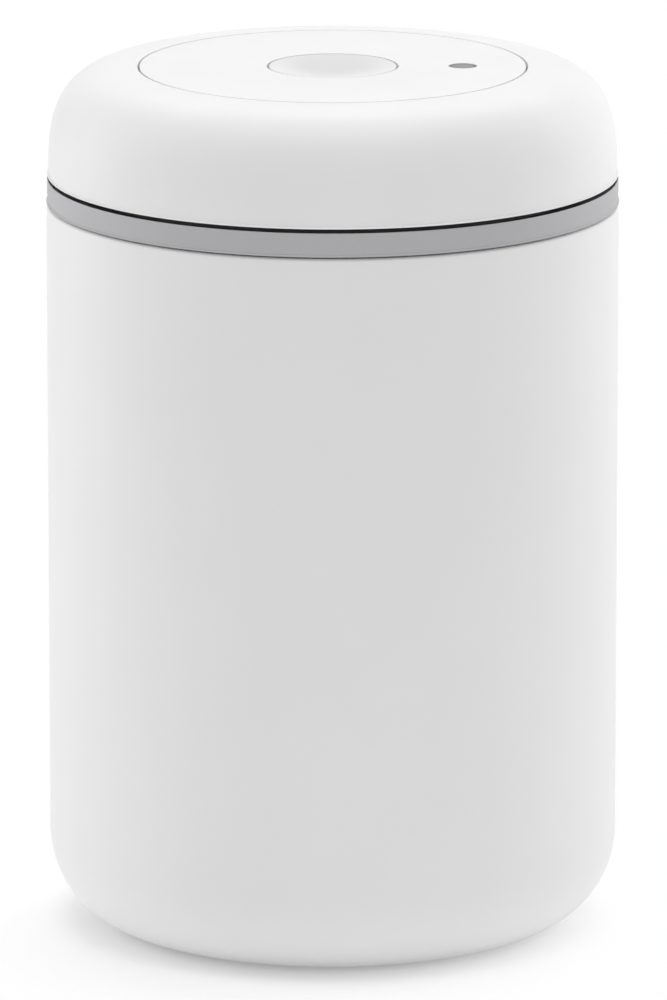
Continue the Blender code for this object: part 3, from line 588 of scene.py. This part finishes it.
class CANISTER_OT_can(bpy.types.Operator):
    """Makes the drawn steel can, coated outside and bare inside"""

    bl_idname = "canister.can"
    bl_label = "Can"

    def execute(self, context):
        sizes = context.scene.canister_sizes
        foot = sizes.radius - sizes.corner_reach
        ring_inner = foot - sizes.foot_ring
        recess = ring_inner - sizes.recess_slope
        hem_radius = sizes.radius - sizes.wall - sizes.hem
        hem_bottom = sizes.height - sizes.hem_depth
        recess_fillet, foot_fillet = 1.2 * MM, 1.0 * MM
        corners = [(0, sizes.recess_depth, 0), (recess, sizes.recess_depth, recess_fillet)]
        corners += [(ring_inner, 0, foot_fillet)]
        corners += corner_line(sizes, 0)
        corners += [
            (sizes.radius, sizes.height - sizes.neck_height, 0),
            (sizes.radius - sizes.neck, sizes.height - sizes.neck_height / 2, 0),
            (sizes.radius - sizes.neck, sizes.height, sizes.rim_fillet),
            (hem_radius, sizes.height, sizes.rim_fillet),
            (hem_radius, hem_bottom, BLUNT),
            (sizes.radius - sizes.wall, hem_bottom - sizes.hem, 0),
        ]
        corners += corner_line(sizes, sizes.wall)[::-1]
        corners += [
            (ring_inner, sizes.wall, foot_fillet),
            (recess, sizes.recess_depth + sizes.wall, recess_fillet),
            (0, sizes.recess_depth + sizes.wall, 0),
        ]
        mesh = meshed(turned(corners, sizes.shell_steps))
        shown(
            "can_shell", mesh, "powder_coated_steel", "canister", "white_enamel", "canister_body"
        )
        mesh.materials.append(finish_named("drawn_stainless_steel"))
        # The coat is sprayed from outside and ends on the crest of the rim
        coat_end = hem_radius + 0.3 * sizes.hem
        floor_middle = sizes.recess_depth + sizes.wall / 2
        for face in mesh.polygons:
            centre = face.center
            radius = math.hypot(centre.x, centre.y)
            looks_in = face.normal.x * centre.x + face.normal.y * centre.y < 0
            looks_in = looks_in or face.normal.z > 0.5
            inside = radius < coat_end and looks_in and centre.z > floor_middle
            in_corner = centre.z < sizes.corner_rise and face.normal.z > 0
            face.material_index = int(inside or in_corner)
        return {"FINISHED"}


class CANISTER_OT_band(bpy.types.Operator):
    """Makes the grey band between can and lid"""

    bl_idname = "canister.band"
    bl_label = "Band"

    def execute(self, context):
        sizes = context.scene.canister_sizes
        bottom, top = BAND[0].z + sizes.foot_lift, BAND[1].z + sizes.band_rise
        inner, outer = BAND[1].x - sizes.band_wall, BAND[1].x - sizes.band_flare
        corners = [(inner, bottom, 0)]
        corners += flared(outer, bottom, sizes.band_flare, sizes.flare_height, sizes.dome_lip)
        corners += [(outer, top, sizes.band_lip), (inner, top - sizes.band_slope, 0)]
        mesh = meshed(turned(corners, sizes.shell_steps))
        shown("band_ring", mesh, "satin_moulded_abs", "lid", "grey_band", "trim_band")
        return {"FINISHED"}


class CANISTER_OT_dome(bpy.types.Operator):
    """Makes the dome that is gripped and turned"""

    bl_idname = "canister.dome"
    bl_label = "Dome"

    def execute(self, context):
        sizes = context.scene.canister_sizes
        opening = sizes.plate_radius + sizes.plate_gap
        radius, bottom, top = DOME[1].x, DOME[0].z, DOME[1].z
        outside = dome_line(opening, radius, bottom, top, sizes.dome_curve)
        inside = dome_line(
            opening, radius - sizes.dome_wall, bottom, top - sizes.dome_wall, sizes.dome_curve
        )
        outside[:1] = flared(radius, bottom, sizes.dome_flare, sizes.flare_height, sizes.dome_lip)
        outside[-1] = outside[-1][:2] + (sizes.joint_fillet,)
        inside[0] = inside[0][:2] + (sizes.joint_fillet,)
        mesh = meshed(turned(outside + inside[::-1], sizes.shell_steps))
        # The bosses end inside the dome's wall
        boss_top = top - 0.65 * sizes.dome_wall
        boss_radius, bore_radius = 3.2 * MM, 1.2 * MM
        bosses, holes = [], []
        for pump in PUMPS:
            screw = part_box("cam_screw_" + pump)
            at = middle(screw)
            bosses.append(peg(POST_STEPS, CAM[1].z + FIT, (boss_radius, boss_top), at=at))
            holes.append(peg(HOLE_STEPS, CAM[1].z, (bore_radius, screw[1].z + FIT), at=at))
        mesh = worked(mesh, bosses, "UNION")
        mesh = worked(mesh, holes, "DIFFERENCE")
        shown("dome_shell", mesh, "white_moulded_abs", "grip", "white_plastic", "grip_dome")
        return {"FINISHED"}


class CANISTER_OT_plate(bpy.types.Operator):
    """Makes the fixed top plate with its collars and screw bosses"""

    bl_idname = "canister.plate"
    bl_label = "Top plate"

    def execute(self, context):
        sizes = context.scene.canister_sizes
        top = PLATE[1].z
        under = top - sizes.plate_wall
        flange_radius = PLATE[1].x
        flange_bottom = CAM[1].z + 0.4 * MM
        flange_top = flange_bottom + 1.6 * MM
        skirt = sizes.plate_radius - 2.2 * MM
        hole = BUTTON[1].x + sizes.button_gap
        collar_wall = 1.4 * MM
        collar = hole + collar_wall
        collar_bottom = under - 4.0 * MM
        corners = [
            (hole, collar_bottom, SOFT),
            (collar, collar_bottom, SOFT),
            (collar, under, SOFT),
            (skirt, under, SOFT),
            (skirt, flange_bottom, SOFT),
            (flange_radius, flange_bottom, SOFT),
            (flange_radius, flange_top, SOFT),
            (sizes.plate_radius, flange_top, 0),
            (sizes.plate_radius, top, sizes.joint_fillet),
            (hole, top, sizes.joint_fillet),
        ]
        mesh = meshed(turned(corners, sizes.shell_steps))
        dot_hole = sizes.dot_radius + sizes.dot_gap
        dot_place = middle(PIN)[0]
        guide = (dot_hole + collar_wall, under + OVERRUN)
        bosses, holes = [peg(TUBE_STEPS, collar_bottom, guide, at=(dot_place, 0))], []
        boss_radius, bore_radius, bore_end = 3.4 * MM, 1.6 * MM, 0.7 * MM
        low = PLATE[0].z
        for pump in PUMPS:
            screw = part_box("lid_screw_" + pump)
            at = middle(screw)
            bosses.append(peg(POST_STEPS, low, (boss_radius, under + OVERRUN), at=at))
            bore = (bore_radius, screw[1].z + bore_end)
            holes.append(peg(HOLE_STEPS, low - OVERRUN, bore, at=at))
        edge = sizes.dot_edge
        drill = [
            (0, collar_bottom - OVERRUN, 0),
            (dot_hole, collar_bottom - OVERRUN, 0),
            (dot_hole, top - edge, 0),
            (dot_hole + edge + OVERRUN, top + OVERRUN, 0),
            (0, top + OVERRUN, 0),
        ]
        holes.append(set_at(turned(drill, sizes.small_steps), dot_place))
        mesh = worked(mesh, bosses, "UNION")
        mesh = worked(mesh, holes, "DIFFERENCE")
        shown("plate_shell", mesh, "white_moulded_abs", "lid", "white_plastic", "top_plate")
        return {"FINISHED"}


class CANISTER_OT_button(bpy.types.Operator):
    """Makes the dished release button, its rod and the valve's seal"""

    bl_idname = "canister.button"
    bl_label = "Release button"

    def execute(self, context):
        sizes = context.scene.canister_sizes
        radius, bottom, rim = BUTTON[1].x, BUTTON[0].z, BUTTON[1].z
        wall = 1.6 * MM
        under = rim - sizes.dish_depth - wall
        boss = 4.2 * MM
        # The boss reaches lower than the skirt
        skirt_bottom = bottom + 1.1 * MM
        rod = 2.0 * MM
        rod_hole, rod_hole_top = rod + FIT, STEM[1].z + FIT
        dish_radius = radius - 0.55 * MM
        # The dish is part of a sphere, which meets the narrow flat rim at a soft crease
        sphere = (dish_radius**2 + sizes.dish_depth**2) / (2 * sizes.dish_depth)
        dish = []
        for index in range(DISH_STEPS + 1):
            out = dish_radius * (1 - index / DISH_STEPS)
            dish.append((out, rim - sizes.dish_depth + sphere - math.sqrt(sphere**2 - out**2), 0))
        corners = [
            (rod_hole, bottom, 0),
            (boss, bottom, SOFT),
            (boss, under, SOFT),
            (radius - wall, under, SOFT),
            (radius - wall, skirt_bottom, BLUNT),
            (radius, skirt_bottom, BLUNT),
            (radius, rim, 0.22 * MM),
        ]
        corners += dish
        corners += [(0, rod_hole_top, 0), (rod_hole, rod_hole_top, 0)]
        mesh = meshed(turned(corners, BUTTON_STEPS))
        # The button's material holds painted shade in its dish
        shown("button_cap", mesh, "dish_shaded_white_abs", "button", "white_plastic", "release_button")

        head = 3.6 * MM
        head_top = STEM[0].z + 0.7 * MM
        corners = [
            (0, STEM[0].z, 0),
            (head, STEM[0].z, 0.25 * MM),
            (head, head_top, CRISP),
            (rod, head_top, CRISP),
            (rod, STEM[1].z, SOFT),
            (0, STEM[1].z, 0),
        ]
        mesh = meshed(turned(corners, sizes.small_steps))
        shown("valve_rod", mesh, "bright_stainless_steel", "button", "steel", "valve_stem")

        seal = ring(rod_hole, STEM_SEAL[1].x, STEM_SEAL[0].z, STEM_SEAL[1].z, 0.35 * MM)
        mesh = meshed(turned(seal, sizes.small_steps))
        shown("poppet_seal", mesh, "moulded_silicone", "button", "silicone", "valve_seal")
        return {"FINISHED"}


class CANISTER_OT_indicator(bpy.types.Operator):
    """Makes the vacuum indicator, whose grey end is the dot in the plate"""

    bl_idname = "canister.indicator"
    bl_label = "Indicator"

    def execute(self, context):
        sizes = context.scene.canister_sizes
        place = middle(PIN)[0]
        flange = PIN[1].x - place
        neck = 1.9 * MM
        bottom, top = PIN[0].z, PIN[1].z
        ring_bottom, ring_top = PIN_SEAL[0].z - FIT, PIN_SEAL[1].z + FIT
        disc_top = ring_top + 0.7 * MM
        shoulder_top = PLATE[1].z - sizes.plate_wall - 4.3 * MM
        shoulder_bottom = shoulder_top - 0.8 * MM
        core = sizes.dot_radius - sizes.dot_shade_ring
        corners = [
            (0, bottom, 0),
            (flange, bottom, CRISP),
            (flange, ring_bottom, CRISP),
            (neck, ring_bottom, 0),
            (neck, ring_top, 0),
            (flange, ring_top, CRISP),
            (flange, disc_top, CRISP),
            (neck, disc_top, 0),
            (neck, shoulder_bottom, 0),
            (flange, shoulder_bottom, CRISP),
            (flange, shoulder_top, CRISP),
            (sizes.dot_radius, shoulder_top, 0),
            (sizes.dot_radius, top, sizes.dot_edge),
            (core, top, 0),
            (0, top, 0),
        ]
        mesh = meshed(set_at(turned(corners, sizes.small_steps), place))
        shown("indicator_rod", mesh, "grey_indicator_abs", "indicator", "grey_dot", "indicator_pin")
        # The outer ring of the rod's top is the darker grey of silicone: painted shade, seen as the
        # line round the dot
        mesh.materials.append(finish_named("moulded_silicone"))
        for face in mesh.polygons:
            away = math.hypot(face.center.x - place, face.center.y)
            face.material_index = int(away > core and face.center.z > shoulder_top)
        seal = ring(neck + FIT, PIN_SEAL[1].x - place, PIN_SEAL[0].z, PIN_SEAL[1].z, 0.5 * MM)
        mesh = meshed(set_at(turned(seal, sizes.small_steps), place))
        shown("indicator_ring", mesh, "moulded_silicone", "indicator", "silicone", "indicator_seal")
        return {"FINISHED"}


class CANISTER_OT_lid_base(bpy.types.Operator):
    """Makes the moulded lid base, with its drum, cylinders and screw posts, and a grey ring of
    painted shade in the gap under the dome
    """

    bl_idname = "canister.lid_base"
    bl_label = "Lid base"

    def execute(self, context):
        sizes = context.scene.canister_sizes
        # From the mouth inwards: the plug, its skirt, and the drum that holds the pumps
        can_inside = sizes.radius - sizes.wall - sizes.hem
        plug = can_inside - 1.3 * MM
        plug_fillet = 0.8 * MM
        skirt = plug - 4.2 * MM
        drum = skirt - 3.0 * MM
        drum_bore = drum - 1.8 * MM
        shelf = BASE[1].x
        shelf_top = BAND[1].z
        web = shelf_top - 2.0 * MM
        ledge_top = shelf_top - sizes.ledge_depth
        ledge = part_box("glide_ring")[1].x + 0.6 * MM
        floor_bottom = STEM_SEAL[1].z + FIT
        floor_top = floor_bottom + 2.5 * MM
        groove_bottom, groove_top = GASKET[0].z - FIT, GASKET[1].z + FIT
        groove = plug - 2.1 * MM
        corners = [
            (0, floor_bottom, 0),
            (drum, floor_bottom, ROUNDED),
            (drum, web, ROUNDED),
            (skirt, web, ROUNDED),
            (skirt, BASE[0].z, plug_fillet),
            (plug, BASE[0].z, plug_fillet),
            (plug, groove_bottom, BLUNT),
            (groove, groove_bottom, 0),
            (groove, groove_top, 0),
            (plug, groove_top, BLUNT),
            (plug, BAND[0].z, BLUNT),
            (shelf, BAND[0].z, BLUNT),
            (shelf, ledge_top, BLUNT),
            (ledge, ledge_top, 0),
            (ledge, shelf_top, BLUNT),
            (drum, shelf_top, BLUNT),
            (drum, BASE[1].z, BLUNT),
            (drum_bore, BASE[1].z, BLUNT),
            (drum_bore, floor_top, ROUNDED),
            (0, floor_top, 0),
        ]
        mesh = meshed(turned(corners, sizes.shell_steps))

        # Cylinders and posts start inside the floor, and what cuts it starts below
        foot, below = floor_bottom + 1.2 * MM, floor_bottom - OVERRUN
        carrier_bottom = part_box("piston_carrier")[0].z
        bore, cylinder_wall = 12.5 * MM, 1.5 * MM
        cylinder_top = carrier_bottom - 1.3 * MM
        stud, seat, seat_depth = 1.2 * MM, 6.0 * MM, 1.2 * MM
        port, port_circle, ports_each = 0.9 * MM, 3.2 * MM, 4
        port_top = floor_top - 0.6 * MM
        slot_half = 1.8 * MM
        lug_level = carrier_bottom + 1.5 * MM
        post_top = PLATE[0].z - FIT
        post, shaft, screw_bore = 4.1 * MM, 2.8 * MM, 1.6 * MM
        head_rest = post_top - 2.0 * MM
        pump_circle = middle(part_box("piston_1"))[0]
        posts, bores, ports = [], [], []
        for pump in PUMPS:
            angle = middle(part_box("piston_" + pump))[1]
            at = (pump_circle, angle)
            posts.append(peg(BORE_STEPS, foot, (bore + cylinder_wall, cylinder_top), at=at))
            seating = ((stud, floor_top - seat_depth), (seat, floor_top))
            bores.append(peg(BORE_STEPS, below, *seating, (bore, cylinder_top + OVERRUN), at=at))
            slot = block(
                (drum_bore - OVERRUN, -slot_half, lug_level - slot_half),
                (drum + OVERRUN, slot_half, BASE[1].z + OVERRUN),
            )
            bores.append(set_at(slot, turn=angle))
            for index in range(ports_each):
                spot = (port_circle, (index + 0.5) * math.tau / ports_each)
                ports.append(set_at(peg(PORT_STEPS, below, (port, port_top), at=spot), *at))
            at = middle(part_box("lid_screw_" + pump))
            posts.append(peg(POST_STEPS, foot, (post, post_top), at=at))
            bore_outline = ((shaft, head_rest), (screw_bore, post_top + OVERRUN))
            bores.append(peg(POST_STEPS, below, *bore_outline, at=at))

        valve_post, rod_hole, spring_bore = 8.0 * MM, 3.2 * MM, 5.2 * MM
        posts.append(peg(TUBE_STEPS, foot, (valve_post, post_top)))
        bore_outline = ((rod_hole, floor_top), (spring_bore, post_top + OVERRUN))
        bores.append(peg(TUBE_STEPS, below, *bore_outline))

        at = (middle(PIN)[0], 0)
        pin_post, air_hole, pin_bore = 5.5 * MM, 1.0 * MM, 4.0 * MM
        pin_top = PIN_SEAL[1].z + 1.7 * MM
        posts.append(peg(POST_STEPS, foot, (pin_post, pin_top), at=at))
        bore_outline = ((air_hole, floor_top), (pin_bore, pin_top + OVERRUN))
        bores.append(peg(POST_STEPS, below, *bore_outline, at=at))
        mesh = worked(mesh, posts, "UNION")
        mesh = worked(mesh, bores, "DIFFERENCE")
        mesh = worked(mesh, ports, "DIFFERENCE")
        shown("lid_carrier", mesh, "white_moulded_abs", "lid", "white_plastic", "lid_base")

        # The grey ring in the gap under the dome is painted shade: a dark ring put where shade
        # falls. It sits a hair off the ledge, so that no two faces share a plane
        hair, lip, soft = 0.03 * MM, 0.5 * MM, 0.1 * MM
        inner, outer = ledge + hair, shelf - FIT
        foot_bottom = ledge_top + hair
        corners = [
            (inner, foot_bottom, 0),
            (outer, foot_bottom, 0),
            (outer, foot_bottom + lip, soft),
            (inner + lip, foot_bottom + lip, soft),
            (inner + lip, shelf_top, soft),
            (inner, shelf_top, soft),
        ]
        mesh = meshed(turned(corners, sizes.shell_steps))
        shown("gap_shade_ring", mesh, "moulded_silicone", "lid", "silicone")
        return {"FINISHED"}


class CANISTER_OT_gasket(bpy.types.Operator):
    """Makes the two-lipped rim gasket"""

    bl_idname = "canister.gasket"
    bl_label = "Gasket"

    def execute(self, context):
        sizes = context.scene.canister_sizes
        bottom, top, lip = GASKET[0].z, GASKET[1].z, GASKET[1].x
        back = lip - 2.8 * MM
        front = back + 1.4 * MM
        soft = 0.25 * MM
        lip_shares = ((front, 0.0), (lip, 0.22), (front, 0.5), (lip, 0.78), (front, 1.0))
        corners = [(radius, bottom + (top - bottom) * share, soft) for radius, share in lip_shares]
        corners += [(back, top, soft), (back, bottom, soft)]
        mesh = meshed(turned(corners, sizes.shell_steps))
        shown("rim_gasket", mesh, "moulded_silicone", "lid", "silicone", "lid_gasket")
        return {"FINISHED"}


class CANISTER_OT_cover(bpy.types.Operator):
    """Makes the slotted cover under the lid"""

    bl_idname = "canister.cover"
    bl_label = "Base cover"

    def execute(self, context):
        sizes = context.scene.canister_sizes
        bottom, top = COVER[0].z, COVER[1].z
        corners = ring(6.5 * MM, COVER[1].x, bottom, top, 0.35 * MM)
        mesh = meshed(turned(corners, sizes.shell_steps))
        spacing, half_width, half_length = 3.4 * MM, 0.8 * MM, 5.0 * MM
        slot_fillet, slot_steps = 0.75 * MM, 6
        slots = []
        circle = middle(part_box("piston_1"))[0]
        for pump in PUMPS:
            angle = middle(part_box("piston_" + pump))[1]
            for index in (-1, 0, 1):
                centre = circle + index * spacing
                slot = block(
                    (centre - half_width, -half_length, bottom - OVERRUN),
                    (centre + half_width, half_length, top + OVERRUN),
                )
                ends = [(edge, *edge.verts) for edge in slot.edges]
                upright = [edge for edge, one, two in ends if abs(one.co.z - two.co.z) > MM]
                rounded(slot, upright, "EDGES", slot_fillet, slot_steps)
                slots.append(set_at(slot, turn=angle))
        mesh = worked(mesh, slots, "DIFFERENCE")
        shown("base_cover_disc", mesh, "white_moulded_abs", "lid", "white_plastic", "base_cover")
        return {"FINISHED"}


def coil(mean_radius, wire, bottom, top, active_turns, x=0):
    """A round-wire compression spring with a closed turn at each end."""
    shape = bmesh.new()
    start = Matrix.Translation((mean_radius, 0, bottom + wire / 2))
    made = bmesh.ops.create_circle(
        shape,
        cap_ends=True,
        segments=WIRE_SIDES,
        radius=wire / 2,
        matrix=start @ Matrix.Rotation(math.pi / 2, 4, "X"),
    )
    face = made["verts"][0].link_faces[0]
    geometry = [face] + list(face.edges) + list(face.verts)
    # A closed turn rises by hardly more than the wire
    closed_rise = wire * 1.05
    open_rise = top - bottom - wire - 2 * closed_rise
    for turns, rise in ((1, closed_rise), (active_turns, open_rise), (1, closed_rise)):
        steps = COIL_STEPS * turns
        swept = bmesh.ops.spin(
            shape,
            geom=geometry,
            axis=(0, 0, 1),
            cent=(0, 0, 0),
            dvec=(0, 0, rise / steps),
            angle=math.tau * turns,
            steps=steps,
        )
        geometry = swept["geom_last"]
    bmesh.ops.recalc_face_normals(shape, faces=shape.faces)
    return set_at(shape, x)


class CANISTER_OT_springs(bpy.types.Operator):
    """Makes the two compression springs at one length; the real ones shorten as the button or the
    indicator sinks
    """

    bl_idname = "canister.springs"
    bl_label = "Springs"

    def execute(self, context):
        place = middle(PIN)[0]
        # Piece, node, its box, place along X, wire, active turns and joint
        rows = (
            ("button_coil", "button_spring", BUTTON_COIL, 0, 0.8 * MM, 5, "button_press"),
            ("indicator_coil", "indicator_spring", PIN_COIL, place, 0.5 * MM, 4, "indicator_drop"),
        )
        for name, node, box, x, wire, turns, joint in rows:
            bottom, top = box[0].z, box[1].z
            mean_radius = box[1].x - x - wire / 2
            mesh = meshed(coil(mean_radius, wire, bottom, top, turns, x))
            spring = shown(name, mesh, "bright_stainless_steel", "lid", "steel", node)
            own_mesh(spring)
        return {"FINISHED"}


class CANISTER_OT_inner_finishes(bpy.types.Operator):
    """Gives the pump's pieces, the screws and the valves their real materials"""

    bl_idname = "canister.inner_finishes"
    bl_label = "Inner finishes"

    def execute(self, context):
        groups = {
            "glass_filled_nylon": ("cam_ring", "piston_carrier"),
            "natural_acetal": ("glide_ring", "piston_1", "piston_2", "piston_3"),
            "bright_stainless_steel": tuple(
                kind + number for kind in ("lid_screw_", "cam_screw_") for number in PUMPS
            ),
            "moulded_silicone": tuple(
                kind + number
                for kind in ("screw_plug_", "intake_valve_", "piston_seal_", "exhaust_valve_")
                for number in PUMPS
            ),
        }
        for material, nodes in groups.items():
            for node in nodes:
                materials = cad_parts[node].data.materials
                materials.clear()
                materials.append(finish_named(material))
        return {"FINISHED"}


def by_ray(tree, rays, lighting, seen):
    """One shader where it lights things, and another where these two kinds of ray meet it."""
    ray = add_node(tree, "LightPath")
    kinds = {index: ray.outputs[kind] for index, kind in enumerate(rays)}
    share = add_node(tree, "Math", kinds, operation="MAXIMUM")
    return add_node(tree, "MixShader", {0: share, 1: lighting, 2: seen})


def floor_material(studio):
    """White seamless paper, which keeps its shading near the can and turns into the white page."""
    material, tree = blank_material("seamless_paper")
    place = add_node(tree, "TexCoord").outputs["Object"]
    dim, bright = linear_colour(studio.paper_dim), linear_colour(studio.paper_bright)
    fibres = mottled(tree, place, studio.paper_fibre, dim, bright)
    paper = add_node(tree, "BsdfDiffuse", {"Color": fibres})
    glow = add_node(tree, "Emission", {"Color": WHITE, "Strength": studio.paper_glow})
    lit = add_node(tree, "AddShader", {0: paper, 1: glow})
    page = add_node(tree, "Emission", {"Color": WHITE, "Strength": 1.0})
    fade = beyond(tree, place, studio.paper_centre, studio.paper_near, studio.paper_far)
    faded = add_node(tree, "MixShader", {0: fade, 1: lit, 2: page})
    mix = by_ray(tree, ("Is Camera Ray", "Is Glossy Ray"), lit, faded)
    add_node(tree, "OutputMaterial", {"Surface": mix})
    return material


def studio_world(studio):
    """Pale walls all round: white where they are seen, softer where they light."""
    world = bpy.data.worlds.new("studio_walls")
    world.use_nodes = True
    tree = world.node_tree
    tree.nodes.clear()
    walls = add_node(tree, "Background", {"Color": WHITE, "Strength": studio.ambient})
    page = add_node(tree, "Background", {"Color": WHITE, "Strength": 1.0})
    mix = by_ray(tree, ("Is Camera Ray", "Is Transmission Ray"), walls, page)
    add_node(tree, "OutputWorld", {"Surface": mix})
    return world


def area_lamp(name, place, aim, width, height, power):
    """A soft box that looks from its place at a point."""
    lamp = bpy.data.lights.new(name, "AREA")
    lamp.shape = "RECTANGLE"
    lamp.size, lamp.size_y = width, height
    lamp.energy = power
    holder = placed(name, lamp)
    holder.location = place
    holder.rotation_euler = (Vector(aim) - Vector(place)).to_track_quat("-Z", "Y").to_euler()


class CANISTER_OT_stage(bpy.types.Operator):
    """Sets up the paper floor, the studio light and the camera"""

    bl_idname = "canister.stage"
    bl_label = "Stage"

    def execute(self, context):
        studio = context.scene.canister_studio
        scene = context.scene
        shape = bmesh.new()
        bmesh.ops.create_grid(shape, x_segments=1, y_segments=1, size=studio.floor_side / 2)
        mesh = meshed(shape)
        mesh.materials.append(floor_material(studio))
        floor = placed("paper_floor", mesh)

        scene.world = studio_world(studio)
        half = frame_box[1][2] / 2
        aim = (0, 0, half)
        wide, tall = studio.side_width, studio.side_tall
        rows = (
            ("left_softbox", studio.left_angle, studio.left_height, tall, studio.left_power),
            ("right_softbox", studio.right_angle, studio.right_height, tall, studio.right_power),
            ("rim_softbox", studio.rim_angle, studio.rim_height, studio.rim_tall, studio.rim_power),
        )
        for name, angle, height, reach, watts in rows:
            side = studio.side_distance * math.sin(angle)
            front = studio.side_distance * math.cos(angle)
            area_lamp(name, (side, -front, height), aim, wide, reach, watts)
        wide, deep = studio.top_width, studio.top_deep
        area_lamp("top_softbox", studio.top_place, aim, wide, deep, studio.top_power)
        area_lamp("back_softbox", studio.back_place, aim, wide, deep, studio.back_power)

        camera = bpy.data.cameras.new("catalogue_camera")
        camera.lens = studio.lens_mm
        camera.sensor_width = SENSOR_WIDTH_MM
        camera.shift_x = studio.shift
        camera.clip_end = CLIP_END
        holder = placed("catalogue_camera", camera)
        holder.location = (0, -studio.camera_distance, studio.camera_height)
        holder.rotation_euler = (math.pi / 2 - studio.camera_pitch, 0, 0)
        scene.camera = holder
        scene.view_settings.view_transform = "Standard"
        return {"FINISHED"}


PIECES = (
    CANISTER_OT_can,
    CANISTER_OT_band,
    CANISTER_OT_dome,
    CANISTER_OT_plate,
    CANISTER_OT_button,
    CANISTER_OT_indicator,
    CANISTER_OT_lid_base,
    CANISTER_OT_gasket,
    CANISTER_OT_cover,
    CANISTER_OT_springs,
    CANISTER_OT_inner_finishes,
    CANISTER_OT_stage,
)


class CANISTER_PT_panel(bpy.types.Panel):
    """Lists the pieces in the sidebar"""

    bl_label = "Vacuum canister"
    bl_idname = "CANISTER_PT_panel"
    bl_space_type = "VIEW_3D"
    bl_region_type = "UI"
    bl_category = "Canister"

    def draw(self, context):
        for maker in PIECES:
            self.layout.operator(maker.bl_idname)


GROUPS = {
    "canister_sizes": CanisterSizes,
    "canister_finishes": CanisterFinishes,
    "canister_studio": CanisterStudio,
}


def register():
    for known in (*GROUPS.values(), *PIECES, CANISTER_PT_panel):
        bpy.utils.register_class(known)
    for name, group in GROUPS.items():
        setattr(bpy.types.Scene, name, PointerProperty(type=group))


def unregister():
    for name in GROUPS:
        delattr(bpy.types.Scene, name)
    for known in (CANISTER_PT_panel, *PIECES[::-1], *GROUPS.values()):
        bpy.utils.unregister_class(known)


def main():
    register()
    for maker in PIECES:
        family, piece = maker.bl_idname.split(".")
        getattr(getattr(bpy.ops, family), piece)()


if __name__ == "__main__":
    main()
